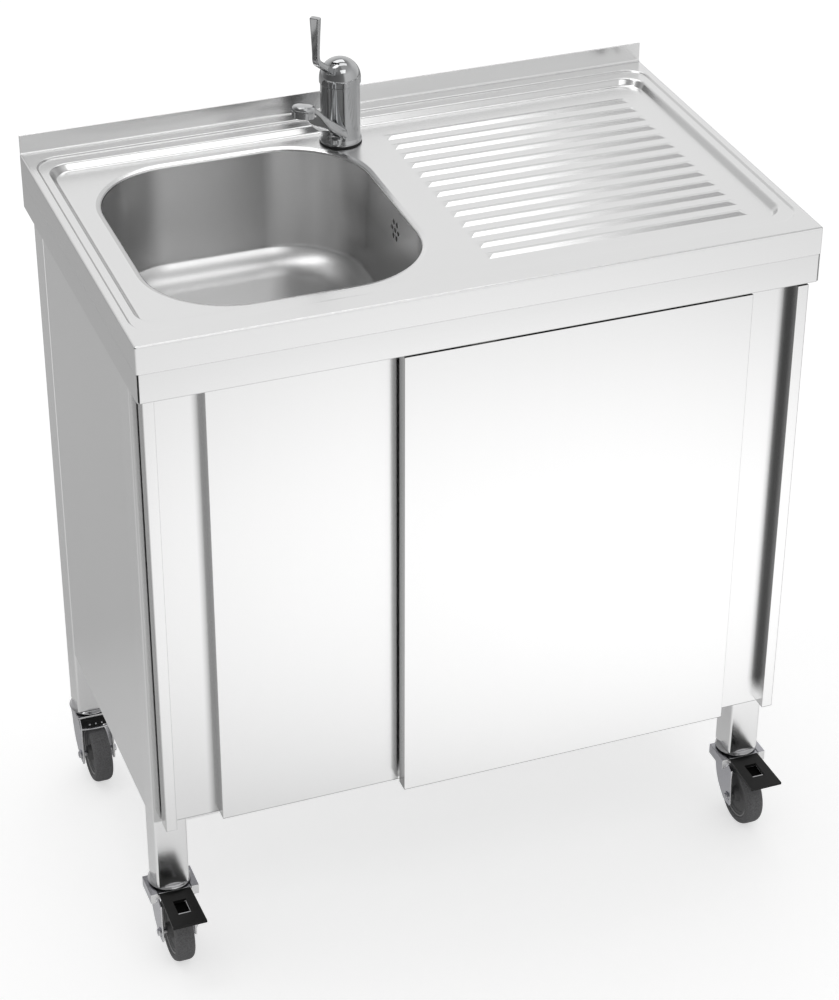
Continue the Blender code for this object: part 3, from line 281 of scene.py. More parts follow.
def pull_shade(graph, x, height):
    """Painted shade before the walls of the pulls, and thin lines of painted shade along the door's edges."""
    low_edge_shade = ramp(graph, height, DOOR_LOW + 0.0016, DOOR_LOW + 0.0006)
    shade = low_edge_shade * ramp(graph, x, PULL_LEFT[0], PULL_LEFT[0] + 0.001) * LOW_EDGE_SHARE
    for wall, width, share, fade in PULL_WALLS:
        near = ramp(graph, x, wall - width, wall - 0.0015) * ramp(graph, x, wall + 0.0003, wall)
        if fade:
            near = near * ramp(graph, height, DOOR_LOW + FADE_FROM, DOOR_LOW + FADE_FROM + fade)
        shade = near * near * (3.0 - near * 2.0) * share + shade
    for edge in (PULL_LEFT[0], PULL_RIGHT[0]):
        line = ramp(graph, x, edge - LINE_HALF, edge) * ramp(graph, x, edge + LINE_HALF, edge)
        shade = line * LINE_SHARE + shade
    for end in DOOR_ENDS:
        inward = math.copysign(0.001, -end)
        shade = ramp(graph, x, end + 1.4 * inward, end + 0.6 * inward) * LINE_SHARE + shade
    return shade


def pulled_door(graph):
    """Painted shade on the folds, but not low on the right pull's wall, and the painted shade in the pulls."""
    mask, shade_tone = folds(1, places=DOOR_GREYS)(graph)
    x, height = part_of(graph, "Object", 0), part_of(graph, "Object", 2)
    unshaded = ramp(graph, height, DOOR_LOW + 0.030, DOOR_LOW + 0.010) * ramp(graph, x, 0.372, 0.374)
    mask = mask * (1.0 - unshaded)
    deep = graph.add("ShaderNodeMix", {"Factor": mask, 6: (*grey(0.18), 1.0), 7: shade_tone}, out=2,
                     data_type="RGBA")
    return larger(graph, mask, pull_shade(graph, x, height)), deep


def shaded_bowl(graph):
    """Painted shade low on the bowl's right wall."""
    right = ramp(graph, part_of(graph, "Normal", 0), -0.60, -0.92)
    return right * ramp(graph, part_of(graph, "Object", 2), 0.850, 0.805), (*grey(0.46), 1.0)


BAND_LOW, BAND_TOP = [corner.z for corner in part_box("front_apron")]


def band_edge_shade(graph):
    """Painted shade on the returns, along the lower edge and, faintly, along the seam."""
    mask, shade_tone = folds(1, 0.62)(graph)
    height = part_of(graph, "Object", 2)
    low_edge_shade = ramp(graph, height, BAND_LOW + 0.0014, BAND_LOW + 0.0005)
    seam = ramp(graph, height, BAND_TOP - 0.0012, BAND_TOP - 0.0004) * 0.35
    return larger(graph, mask, low_edge_shade + seam), shade_tone


# The masks below paint shade on folds, pull walls, edges, the bowl's low right wall and the tube behind the doors,
# and light on the worktop's front
FINISH["bowl_steel"] = satin_steel("bowl_steel", BOWL_GREY, 0.31, DRAWN, painted_shade=shaded_bowl)
TOP_SHEET = satin_steel("worktop_sheet", TOP_GREY, 0.22, ALONG_X, 0.03, 0.004, top_light_and_shade)
DOOR_SHEET = satin_steel("door_sheet", PANEL, 0.20, ALONG_Z, painted_shade=pulled_door)
SIDE_SHEET = satin_steel("side_sheet", SIDE_GREY, 0.20, ALONG_Z, painted_shade=folds(0, 0.36))
BAND_SHEET = satin_steel("band_sheet", PANEL, 0.20, ALONG_X, painted_shade=band_edge_shade)
SIDE_BAND = satin_steel("side_band_sheet", TOP_GREY, 0.20, ALONG_Y, painted_shade=folds(0, 0.50))
FRONT_TUBE = satin_steel("front_tube", PANEL, 0.20, ALONG_Z, painted_shade=tube_shade_behind_doors)
print("steel finishes:", ", ".join(FINISH), "and six with painted shade")

# %% [markdown]
# ## Chrome, zinc, rubber and plastics
# Chrome is almost a mirror, so its realism is in small things: a trace of haze from handling that
# makes some patches less sharp. Zinc plate is cooler and spangled in soft patches. A caster tyre
# is filled rubber with pale specks, and moulded plastic has a fine pebble in its gloss. Brass and
# black rubber are almost hidden but are made with the same care.


# %% Other finishes
def mottled(name, dark, light, size, rough, spread, metallic=0.0, pebble=0.0, contrast=1.0, gloss=0.5,
            front=None):
    """Add a finish whose colour and gloss wander in patches, with painted light on the front if asked."""
    made, graph, shader = principled(name, Metallic=metallic, Specular_IOR_Level=gloss)
    patch = noise(graph, (1.0 / size,) * 3, 3.0)
    sharper = (patch - 0.5) * contrast + 0.5
    clamped = graph.add("ShaderNodeClamp", {"Value": sharper})
    colour = tone(graph, clamped, dark, light)
    if front:
        facing = ramp(graph, part_of(graph, "Normal", 1), -0.70, -0.95)
        colour = graph.add("ShaderNodeMix", {"Factor": facing, 6: colour, 7: (*front, 1.0)}, out=2,
                           data_type="RGBA")
    plug(graph, shader, Base_Color=colour)
    plug(graph, shader, Roughness=patch * spread + (rough - spread / 2))
    if pebble:
        bump = graph.add("ShaderNodeBump", {"Strength": pebble, "Distance": 0.0003, "Height": patch})
        plug(graph, shader, Normal=bump)
    FINISH[name] = made


mottled("chrome", (0.42, 0.425, 0.43), (0.48, 0.485, 0.49), 0.012, 0.07, 0.05, 1.0)
# Zinc and the bright race get painted light: a brighter colour on faces that look to the front
mottled("zinc", (0.47, 0.47, 0.50), (0.55, 0.55, 0.58), 0.004, 0.25, 0.10, 1.0, front=grey(0.80))
mottled("bright_race", (0.46, 0.46, 0.47), (0.54, 0.54, 0.55), 0.006, 0.12, 0.06, 1.0, front=grey(0.95))
mottled("grey_tyre", (0.095, 0.095, 0.097), (0.200, 0.200, 0.204), 0.0016, 0.72, 0.1, pebble=0.25,
        contrast=1.8)
mottled("grey_hub", (0.100, 0.100, 0.101), (0.190, 0.190, 0.192), 0.002, 0.62, 0.12, pebble=0.2)
# The bead's pale colour is a painted highlight along the joint of tyre and centre
mottled("bead_painted_highlight", grey(0.36), grey(0.50), 0.002, 0.50, 0.10, pebble=0.1)
mottled("black_plastic", grey(0.007), grey(0.014), 0.0012, 0.42, 0.1, pebble=0.15, gloss=0.22)
# Near black with almost no gloss: painted shade for the depth under the pedal's window
mottled("well_painted_shade", grey(0.0015), grey(0.0035), 0.002, 0.70, 0.12, pebble=0.1, gloss=0.05)
mottled("black_rubber", grey(0.018), grey(0.034), 0.002, 0.75, 0.12, pebble=0.2)
mottled("brass", (0.60, 0.44, 0.18), (0.72, 0.57, 0.28), 0.004, 0.32, 0.14, 1.0)
mottled("white_plastic", (0.72, 0.72, 0.70), (0.80, 0.80, 0.78), 0.02, 0.42, 0.1, pebble=0.05)
for node, thing in frame["nodes"].items():
    thing.data.materials[0] = FINISH[SLOT_OF[node]]
print("finishes on", len(frame["nodes"]), "nodes")

# %% [markdown]
# ## From loops to a piece
# Pressed and folded sheet is easy to describe as a row of closed loops: each has the same number
# of points, and neighbours are skinned with quads. `publish` turns such a mesh into a named piece,
# sharpens only true edges, and ties it to the body that it moves with and to the node that it
# stands for. Smooth shading tips the normals of a wide flat face where it meets a narrow bend, and
# polished steel shows that at once, so normals are weighted by the area of the faces around them.

# %% Mesh helpers
MERGE = 0.000005
SHARP = math.radians(38)


def skin(bm, rings):
    """Skin neighbouring rings of points with quads and return the rings' vertices."""
    made = [[bm.verts.new(point) for point in ring] for ring in rings]
    for near, far in zip(made, made[1:]):
        count = len(near)
        for k in range(count):
            bm.faces.new((near[k], near[(k + 1) % count], far[(k + 1) % count], far[k]))
    return made


def capped(bm, rings):
    """Skin rings and close both ends."""
    made = skin(bm, rings)
    bm.faces.new(made[0])
    bm.faces.new(made[-1])


def tidy_mesh(bm, name):
    """Merge doubles, point the faces out and make a mesh."""
    bmesh.ops.remove_doubles(bm, verts=bm.verts, dist=MERGE)
    bmesh.ops.recalc_face_normals(bm, faces=bm.faces)
    mesh = bpy.data.meshes.new(name)
    bm.to_mesh(mesh)
    bm.free()
    return mesh


def publish(name, mesh, slot, body, nodes=(), sharp=SHARP, finish=None):
    """Make a named piece in its slot's finish or its own; it rides on a body and stands for nodes."""
    mesh.materials.clear()
    mesh.materials.append(finish or FINISH[slot])
    mesh.shade_smooth()
    mesh.set_sharp_from_angle(angle=sharp)
    piece = bpy.data.objects.new(name, mesh)
    bpy.context.scene.collection.objects.link(piece)
    step = piece.modifiers.new("flats", "WEIGHTED_NORMAL")
    step.keep_sharp = True
    shaped = piece.evaluated_get(bpy.context.evaluated_depsgraph_get())
    piece.data = bpy.data.meshes.new_from_object(shaped)
    piece.modifiers.remove(step)
    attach(piece, body)
    if nodes:
        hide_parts(*nodes)
    return piece


def stand_in(name, bm, node, sharp=SHARP, finish=None):
    """Publish a mesh in place of one node, with that node's slot and body."""
    return publish(name, tidy_mesh(bm, name), SLOT_OF[node], BODY_OF[node], [node], sharp, finish)


def rounded_rectangle(x0, x1, y0, y1, radius, height, steps):
    """Points of a level rectangle with round corners."""
    points = []
    for x, y, quarter in ((x1, y1, 0), (x0, y1, 1), (x0, y0, 2), (x1, y0, 3)):
        across = x - math.copysign(radius, x - (x0 + x1) / 2)
        along = y - math.copysign(radius, y - (y0 + y1) / 2)
        for k in range(steps + 1):
            angle = (quarter + k / steps) * math.pi / 2
            points.append((across + radius * math.cos(angle), along + radius * math.sin(angle), height))
    return points


def eased(share, ease=0.3):
    """A straight ramp from 0 to 1 with rounded ends."""
    if share < ease:
        return share ** 2 / (2 * ease * (1 - ease))
    if share > 1 - ease:
        return 1 - (1 - share) ** 2 / (2 * ease * (1 - ease))
    return (share - ease / 2) / (1 - ease)


def between(a, b, share):
    """A number between two."""
    return a + (b - a) * share


print("mesh helpers ready")

# %% [markdown]
# ## The pressed worktop
# The top is one sheet. Its edge folds down into a fascia over a 2 mm bend. Inside the rim two
# pressed steps lead down to the deck, so that water stays on it. Round the bowl's mouth the sheet is
# coined into a narrow sloping land, which catches a bright line, and then turns down. Press tools
# leave no knife edges, so each step is a ramp with rounded ends. We list the loops from the fascia
# inwards and fill the flat deck last.

# %% Worktop sheet
TOP_LOW, TOP_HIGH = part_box("worktop")
LEFT, RIGHT, FRONT, BACK = TOP_LOW.x, TOP_HIGH.x, TOP_LOW.y, TOP_HIGH.y
FASCIA = 0.033
RIM = TOP_LOW.z + FASCIA
DECK = RIM - 0.010
SHEET = 0.0015
BEND = 0.002
LIP = 0.004
LAND = ((-0.0080, 0.0), (-0.0070, 0.00006), (-0.0062, 0.0002), (-0.0022, 0.0012), (-0.0013, 0.0015),
        (-0.0006, 0.0020), (-0.0002, 0.0028), (0.0, LIP))
CORNER = 0.030
STEP = {"from": (0.0085, 0.028, 0.021), "to": (0.0117, 0.0312, 0.0242), "drop": 0.002}
FALL = {"from": (0.0197, 0.0477, 0.0387), "to": (0.0279, 0.0559, 0.0469), "drop": 0.008}
RAMP = (0.0, 0.08, 0.16, 0.24, 0.3, 0.5, 0.7, 0.76, 0.84, 0.92, 1.0)
TOP_STEPS = 10
BOWL_STEPS = 18
BOWL_LOW, BOWL_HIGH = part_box("sink_bowl")
FLANGE = 0.006
MOUTH_IN = {"left": 0.002, "right": 0.003, "back": 0.004}
MOUTH = (BOWL_LOW.x + FLANGE + MOUTH_IN["left"], BOWL_HIGH.x - FLANGE - MOUTH_IN["right"],
         BOWL_LOW.y + FLANGE, BOWL_HIGH.y - FLANGE - MOUTH_IN["back"])
MOUTH_R = 0.100


def top_ring(side, front, back, radius, height):
    """A loop of the worktop, inset from its edges."""
    return rounded_rectangle(LEFT + side, RIGHT - side, FRONT + front, BACK - back, radius, height,
                             TOP_STEPS)


def even_ring(inset, height):
    """A loop of the folded edge, inset evenly on all sides."""
    return top_ring(inset, inset, inset, BEND, height)


def bowl_ring(inset, height):
    """A loop of the bowl, inset evenly from its mouth."""
    x0, x1, y0, y1 = MOUTH
    return rounded_rectangle(x0 + inset, x1 - inset, y0 + inset, y1 - inset, MOUTH_R - inset, height,
                             BOWL_STEPS)


def ramp_rings(step, top, radius_from, radius_to):
    """Loops down one pressed step."""
    rings = []
    for share in RAMP:
        insets = [between(a, b, share) for a, b in zip(step["from"], step["to"])]
        radius = between(radius_from, radius_to, share)
        rings.append(top_ring(*insets, radius, top - step["drop"] * eased(share)))
    return rings


def worktop_sheet():
    """The whole sheet, with its underside, as one closed mesh."""
    bm = bmesh.new()
    inner = CORNER - 0.003
    deck = [inset + 0.001 for inset in FALL["to"]]
    under = DECK - SHEET
    rings = [top_ring(*deck, inner - 0.005, under)]
    rings += [top_ring(*FALL["from"], inner, RIM - STEP["drop"] - SHEET)]
    rings += [top_ring(*STEP["from"], CORNER, RIM - SHEET)]
    rings += [even_ring(SHEET, RIM - SHEET), even_ring(SHEET, TOP_LOW.z)]
    rings += [even_ring(0.0, TOP_LOW.z), even_ring(0.0, RIM - BEND - 0.001)]
    for k in range(6):
        angle = k / 5 * math.pi / 2
        rings.append(even_ring(BEND * (1 - math.cos(angle)), RIM - BEND * (1 - math.sin(angle))))
    rings.append(even_ring(2 * BEND, RIM))
    rings += ramp_rings(STEP, RIM, CORNER, inner)
    rings += ramp_rings(FALL, RIM - STEP["drop"], inner, inner - 0.004)
    rings.append(top_ring(*deck, inner - 0.005, DECK))
    sheet = skin(bm, rings)
    lip = [bowl_ring(inset, DECK - drop) for inset, drop in LAND]
    lip += [bowl_ring(-SHEET, DECK - LIP), bowl_ring(LAND[0][0], under)]
    mouth = skin(bm, lip)
    for outer, hole in ((sheet[-1], mouth[0]), (sheet[0], mouth[-1])):
        edges = []
        for ring in (outer, hole):
            edges += [bm.edges.get((ring[k - 1], ring[k])) for k in range(len(ring))]
        bmesh.ops.triangle_fill(bm, edges=edges, use_beauty=True)
    return bm


stand_in("worktop_sheet", worktop_sheet(), "worktop", finish=TOP_SHEET)
print("worktop", round(RIGHT - LEFT, 3), "m wide, deck at", round(DECK, 4), "m")

# %% [markdown]
# ## The splash
# Behind the rim a low upstand keeps water off the wall. It is the same sheet turned up, so its foot
# is a small cove and its top edge is rounded over. One outline, swept from end to end, does it.


# %% Splash
SPLASH_T, SPLASH_COVE, SPLASH_IN, SPLASH_SUNK, SPLASH_PROUD = 0.002, 0.0025, 0.0005, 0.0006, 0.00005


def splash():
    """The upstand at the back, with a cove at its foot."""
    face, foot, half = BACK - SPLASH_IN - SPLASH_T, RIM + SPLASH_PROUD, SPLASH_T / 2
    start = face - SPLASH_COVE
    outline = [(start, RIM - SPLASH_SUNK), (start, foot)]
    for k in range(7):
        angle = k / 6 * math.pi / 2
        outline.append((start + SPLASH_COVE * math.sin(angle), foot + SPLASH_COVE * (1 - math.cos(angle))))
    for k in range(9):
        angle = math.pi - k / 8 * math.pi
        outline.append((face + half + half * math.cos(angle), TOP_HIGH.z - half + half * math.sin(angle)))
    outline += [(BACK - SPLASH_IN, RIM - SPLASH_SUNK)]
    bm = bmesh.new()
    capped(bm, [[(x, y, z) for y, z in outline] for x in (LEFT + SPLASH_IN, RIGHT - SPLASH_IN)])
    return bm


publish("splash_upstand", tidy_mesh(splash(), "splash_upstand"), "worktop_steel", "frame")
print("splash", round((TOP_HIGH.z - RIM) * 1000, 1), "mm high")

# %% [markdown]
# ## Drainer ribs with Geometry Nodes
# Thirteen equal ribs are pressed up beside the bowl, each a long hipped ridge, 2 mm high. What
# repeats suits Geometry Nodes: one grid is shaped into a rib, and a line of points places its
# copies. The grid's cells are packed into the two ends, where the hips are, so their edges run
# along the mesh. The height at each point follows its distance to the nearest edge.


# %% Ribs
def new_tree(name, inputs):
    """An empty Geometry Nodes tree with a geometry input, named number inputs and a geometry output."""
    tree = bpy.data.node_groups.new(name, "GeometryNodeTree")
    tree.interface.new_socket("Geometry", in_out="INPUT", socket_type="NodeSocketGeometry")
    for label, kind in inputs.items():
        tree.interface.new_socket(label, in_out="INPUT", socket_type=kind)
    tree.interface.new_socket("Geometry", in_out="OUTPUT", socket_type="NodeSocketGeometry")
    graph = Graph(tree)
    entry = tree.nodes.new("NodeGroupInput")
    return graph, {socket.name: Wire(graph, socket) for socket in entry.outputs if socket.name}


def end_tree(graph, geometry, slot):
    """Realise the copies, give them the slot's finish and close the tree."""
    real = graph.add("GeometryNodeRealizeInstances", {"Geometry": geometry})
    painted = graph.add("GeometryNodeSetMaterial", {"Geometry": real, "Material": FINISH[slot]})
    leave = graph.tree.nodes.new("NodeGroupOutput")
    graph.tree.links.new(painted.socket, leave.inputs[0])


def grown(name, graph, values, base=None):
    """Run a tree on a mesh and return the mesh it makes."""
    tree = graph.tree
    holder = bpy.data.objects.new(name, base or bpy.data.meshes.new(name))
    bpy.context.scene.collection.objects.link(holder)
    step = holder.modifiers.new(name, "NODES")
    step.node_group = tree
    for socket in tree.interface.items_tree:
        if socket.in_out == "INPUT" and socket.name in values:
            step[socket.identifier] = values[socket.name]
    shaped = holder.evaluated_get(bpy.context.evaluated_depsgraph_get())
    mesh = bpy.data.meshes.new_from_object(shaped)
    holder.modifiers.remove(step)
    bpy.data.objects.remove(holder)
    mesh.name = name
    return mesh


NUMBER, WHOLE, ARROW = "NodeSocketFloat", "NodeSocketInt", "NodeSocketVector"


def rib_tree():
    """Ridges of a given length, width, height and pitch from a start point."""
    graph, given = new_tree("ribs", {"Length": NUMBER, "Width": NUMBER, "Height": NUMBER, "Cells": WHOLE,
                                     "Count": WHOLE, "Pitch": ARROW, "Start": ARROW})
    cells, half = given["Cells"], given["Width"] * 0.5
    across = cells * 2 + 1
    grid = graph.add("GeometryNodeMeshGrid", {"Size X": across, "Size Y": given["Width"],
                                              "Vertices X": across + 1, "Vertices Y": cells * 2 + 1})
    place = graph.add("GeometryNodeInputPosition")
    parts = graph.add("ShaderNodeSeparateXYZ", {0: place})
    y = Wire(graph, parts.socket.node.outputs[1])
    side = graph.add("ShaderNodeMath", {0: parts}, operation="SIGN")
    from_end = across * 0.5 - graph.add("ShaderNodeMath", {0: parts}, operation="ABSOLUTE")
    inset = from_end / cells * half
    edge = half - graph.add("ShaderNodeMath", {0: y}, operation="ABSOLUTE")
    share = 1.0 - graph.add("ShaderNodeMath", {0: inset, 1: edge}, operation="MINIMUM") / half
    blunt = 0.025
    rounded = ((share * share + blunt ** 2) ** 0.5 - blunt) / (math.hypot(1.0, blunt) - blunt)
    target = graph.add("ShaderNodeCombineXYZ", {"X": side * (given["Length"] * 0.5 - inset), "Y": y,
                                                "Z": given["Height"] * (1.0 - rounded)})
    shaped = graph.add("GeometryNodeSetPosition", {"Geometry": grid, "Position": target})
    line = graph.add("GeometryNodeMeshLine", {"Count": given["Count"], "Start Location": given["Start"],
                                              "Offset": given["Pitch"]})
    copies = graph.add("GeometryNodeInstanceOnPoints", {"Points": line, "Instance": shaped})
    end_tree(graph, copies, "worktop_steel")
    return graph


RIB_X0, RIB_X1 = BOWL_HIGH.x + 0.0425, RIGHT - 0.0565
RIB_PITCH = 0.0274
RIB_COUNT = 13
ribs = grown("drainer_ribs", rib_tree(), {
    "Length": RIB_X1 - RIB_X0, "Width": 0.0150, "Height": 0.0020, "Cells": 10, "Count": RIB_COUNT,
    "Pitch": (0.0, RIB_PITCH, 0.0), "Start": ((RIB_X0 + RIB_X1) / 2, FRONT + 0.0837, DECK)})
publish("drainer_ribs", ribs, "worktop_steel", "frame", sharp=math.radians(60))
print("ribs:", RIB_COUNT, "with", len(ribs.polygons), "faces")

# %% [markdown]
# ## The drawn bowl
# A bowl is deep-drawn: steep walls with a little draft, a soft crease, a wide sweep where the punch
# turned the sheet, and a floor dished towards the waste. Its rosette of overflow holes is cut by a
# second tree, which sets seven round cutters on the wall and subtracts them.

# %% Bowl
DRAFT = 0.004
SWEEP = 0.052
SWEEP_FROM = math.radians(35.5)
CREASE = 0.003
DISH = 0.0018
FLOOR = BOWL_LOW.z + SHEET
MIDDLE = (BOWL_LOW + BOWL_HIGH) / 2 * Vector((1.0, 1.0, 0.0))
FLANGE_R = 0.040


def bowl_profile(sheet):
    """Insets and heights down the wall and round the sweep, moved out by a sheet thickness."""
    radius = SWEEP + sheet
    foot = DRAFT + SWEEP * math.cos(SWEEP_FROM)
    sweep = []
    for k in range(25):
        angle = between(SWEEP_FROM, math.pi / 2, k / 24)
        sweep.append(Vector((foot - radius * math.cos(angle),
                             FLOOR + DISH + SWEEP - radius * math.sin(angle))))
    top, crease = Vector((-sheet, DECK - LIP - sheet)), sweep[0]
    wall = [top.lerp(crease, k / 6) for k in range(6)]
    near, far = crease + (top - crease).normalized() * CREASE, sweep[1]
    bend = [near.lerp(crease, k / 4).lerp(crease.lerp(far, k / 4), k / 4) for k in range(5)]
    return wall + bend + sweep[2:]


def bowl_shell():
    """Inner and outer skin of the bowl, open at the waste."""
    inside = [bowl_ring(inset, height) for inset, height in bowl_profile(0.0)]
    rim = inside[-1]
    for k in range(1, 9):
        share = k / 8
        ring = []
        for x, y, _ in rim:
            ray = Vector((x, y, 0.0)) - MIDDLE
            goal = MIDDLE + ray.normalized() * (FLANGE_R - 0.006)
            here = Vector((x, y, 0.0)).lerp(goal, share)
            ring.append((here.x, here.y, FLOOR + DISH * (1 - share) ** 1.5))
        inside.append(ring)
    outside = [[(x, y, FLOOR - SHEET) for x, y, _ in inside[-1]]]
    outside += [bowl_ring(inset, height) for inset, height in bowl_profile(SHEET)[::-1]]
    bm = bmesh.new()
    skin(bm, inside + outside + [inside[0]])
    return tidy_mesh(bm, "bowl")


def rosette_tree():
    """Cut one hole, and a ring of holes about it, through a wall that faces X."""
    graph, given = new_tree("rosette", {"Ring": WHOLE, "Ring Radius": NUMBER, "Hole Radius": NUMBER,
                                        "Depth": NUMBER, "Centre": ARROW})
    circle = graph.add("GeometryNodeMeshCircle", {"Vertices": given["Ring"],
                                                  "Radius": given["Ring Radius"]})
    ring = graph.add("GeometryNodeTransform", {"Geometry": circle, "Rotation": (0.0, 0.0, math.pi / 6)})
    middle = graph.add("GeometryNodeMeshLine", {"Count": 1})
    points = graph.add("GeometryNodeJoinGeometry", {"Geometry": ring})
    graph.tree.links.new(middle.socket, points.socket.node.inputs[0])
    drill = graph.add("GeometryNodeMeshCylinder", {"Vertices": 24, "Radius": given["Hole Radius"],
                                                   "Depth": given["Depth"]})
    drills = graph.add("GeometryNodeInstanceOnPoints", {"Points": points, "Instance": drill})
    turned = graph.add("GeometryNodeTransform", {"Geometry": drills, "Translation": given["Centre"],
                                                 "Rotation": (0.0, math.pi / 2, 0.0)})
    real = graph.add("GeometryNodeRealizeInstances", {"Geometry": turned})
    holed = graph.add("GeometryNodeMeshBoolean", {"Mesh 1": given["Geometry"], "Mesh 2": real},
                      operation="DIFFERENCE", solver="EXACT")
    end_tree(graph, holed, "bowl_steel")
    return graph


OVERFLOW = (MOUTH[1], MIDDLE.y - 0.0165, DECK - 0.0315)
ROSETTE = {"Ring": 6, "Ring Radius": 0.0099, "Hole Radius": 0.0032, "Depth": 0.016, "Centre": OVERFLOW}
bowl = grown("bowl", rosette_tree(), ROSETTE, bowl_shell())
publish("bowl", bowl, "bowl_steel", "frame", ["sink_bowl"])
print("bowl", round((DECK - FLOOR) * 1000), "mm deep with", len(bowl.polygons), "faces")

# %% [markdown]
# ## Folded sheet with soft edges
# The bands under the fascia, the panels and the doors are plain folds, and their measured shapes are
# already right. What a press brake adds is a small radius on every edge, and that radius is what
# catches the light. So we copy the measured mesh, merge its corners, melt the flat faces together
# and bevel every edge that is truly sharp. The doors' finger pulls keep their tight inner corners. The
# front band stops short of the corners; a near-black strip behind the slit beside each side band is painted shade.


# %% Softened copies
WELD, FLAT, SHARP_FROM = 0.00002, math.radians(1), math.radians(30)


def sharp_edges(bm):
    """Edges where two faces meet at more than 30 degrees."""
    return [edge for edge in bm.edges if edge.is_manifold and edge.calc_face_angle(0.0) > SHARP_FROM]


def rounded_over(bm, edges, width):
    """Give edges a small radius."""
    bmesh.ops.bevel(bm, geom=edges, offset=width, segments=2, affect="EDGES", profile=0.5,
                    clamp_overlap=True)


def softened(node, width, hollows=True):
    """A node's shape with rounded edges; hollow corners are left alone if asked."""
    bm = bmesh.new()
    bm.from_mesh(frame["nodes"][node].data)
    bmesh.ops.remove_doubles(bm, verts=bm.verts, dist=WELD)
    bmesh.ops.dissolve_limit(bm, angle_limit=FLAT, verts=bm.verts, edges=bm.edges)
    bm.normal_update()
    rounded_over(bm, [edge for edge in sharp_edges(bm) if edge.is_convex or hollows], width)
    return bm


SOFT = {"front_apron": 0.0005, "rear_apron": 0.0005, "left_apron": 0.0005, "right_apron": 0.0005,
        "side_panel_left": 0.0006, "side_panel_right": 0.0006, "back_panel": 0.0006,
        "cabinet_floor": 0.0006, "door_left": 0.0005, "door_right": 0.0005, "door_guide": 0.0004,
        "overflow_housing": 0.0008,
        "door_left_hanger_inner": 0.0005, "door_left_hanger_outer": 0.0005,
        "door_right_hanger_inner": 0.0005, "door_right_hanger_outer": 0.0005, "door_track": 0.0004,
        "waste_body": 0.0008, "waste_nut": 0.0008, "bottle_trap": 0.0010, "tap_cartridge": 0.0004}
SHEET_OF = {"front_apron": BAND_SHEET, "rear_apron": BAND_SHEET, "left_apron": SIDE_BAND,
            "right_apron": SIDE_BAND, "side_panel_left": SIDE_SHEET, "side_panel_right": SIDE_SHEET,
            "door_left": DOOR_SHEET, "door_right": DOOR_SHEET}
CORNER_GAP = 0.0009
SEAM_CLOSE = 0.0003
for node, width in SOFT.items():
    bm = softened(node, width, hollows=node not in ("door_left", "door_right"))
    if node == "front_apron":
        middle = sum(corner.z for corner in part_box(node)) / 2
        for vert in bm.verts:
            vert.co.x -= math.copysign(CORNER_GAP, vert.co.x)
            vert.co.z += SEAM_CLOSE if vert.co.z > middle else 0.0
    stand_in(node + "_folded", bm, node, finish=SHEET_OF.get(node))


STRIP_W, STRIP_BACK, STRIP_R = 0.0055, 0.002, 0.0006


def corner_shade_strip(side):
    """A soft strip behind the slit between the front band and a side band, near black as painted shade."""
    low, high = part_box("front_apron")
    edge = high.x + 0.0001
    bm = bmesh.new()
    rings = []
    for inset, height in ((0.0004, low.z + 0.0006), (0.0, low.z + 0.0012), (0.0, high.z - 0.0012),
                          (0.0004, high.z - 0.0006)):
        points = rounded_rectangle(edge - STRIP_W + inset, edge - inset, low.y + 0.0005 + inset,
                                   high.y + STRIP_BACK - inset, STRIP_R, height, 3)
        rings.append([(x * side, y, z) for x, y, z in points])
    capped(bm, rings)
    return bm


# The strips are painted shade: near-black rubber where the slit stands in shadow
for side, label in ((-1, "left"), (1, "right")):
    publish("corner_shade_strip_" + label, tidy_mesh(corner_shade_strip(side), "corner_shade_strip"), "black_rubber", "frame")
print("softened", len(SOFT), "pieces, with 2 corner shade strips")

# %% [markdown]
# ## Legs
# The legs are square tube. Tube is rolled, not folded, so its corners have a real radius of a few
# millimetres, and the cut end shows the wall. Rounded loops make the outside and the bore in one go.


# %% Legs
def leg(node):
    """A square tube with round corners."""
    low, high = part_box(node)
    bm = bmesh.new()
    rings = []
    for inset, height in ((0.0020, high.z), (0.0, high.z), (0.0, low.z + 0.0006), (0.0004, low.z),
                          (0.0018, low.z), (0.0020, low.z + 0.0004)):
        rings.append(rounded_rectangle(low.x + inset, high.x - inset, low.y + inset, high.y - inset,
                                       0.0030 - inset, height, 5))
    skin(bm, rings + rings[:1])
    return bm


LEGS = [node for node in frame["nodes"] if node.startswith("leg_")]
for node in LEGS:
    # The front legs take the finish with painted shade on their fronts behind the doors
    stand_in(node + "_tube", leg(node), node, finish=FRONT_TUBE if "front" in node else None)
print("legs:", len(LEGS))

# %% [markdown]
# ## Turned pieces
# The tap, the waste, the wheels and the bolts are all bodies of revolution. A lathe outline is a
# list of radii and heights; `fillet` rounds its corners first, because chrome shows every edge as a
# thin line of light, and a hard corner would show none. Outlines end at `AXIS`, a tenth of a
# millimetre from the middle, which closes them.


# %% Lathe
AXIS = 0.0001


def fillet(outline, radius, steps=4):
    """Round the inner corners of an open outline."""
    points = [Vector(point) for point in outline]
    result = [points[0]]
    for before, corner, after in zip(points, points[1:], points[2:]):
        a, b = before - corner, after - corner
        reach = min(radius, a.length * 0.45, b.length * 0.45)
        start, end = corner + a.normalized() * reach, corner + b.normalized() * reach
        for k in range(steps + 1):
            share = k / steps
            result.append(start.lerp(corner, share).lerp(corner.lerp(end, share), share))
    return result + [points[-1]]


def lathe(bm, outline, segments, matrix):
    """Spin an outline of (radius, height) about Z, then move it by a matrix."""
    rings = []
    for radius, height in outline:
        ring = []
        for k in range(segments):
            angle = 2 * math.pi * k / segments
            ring.append(matrix @ Vector((radius * math.cos(angle), radius * math.sin(angle), height)))
        rings.append(ring)
    skin(bm, rings)
    return bm


print("lathe ready")

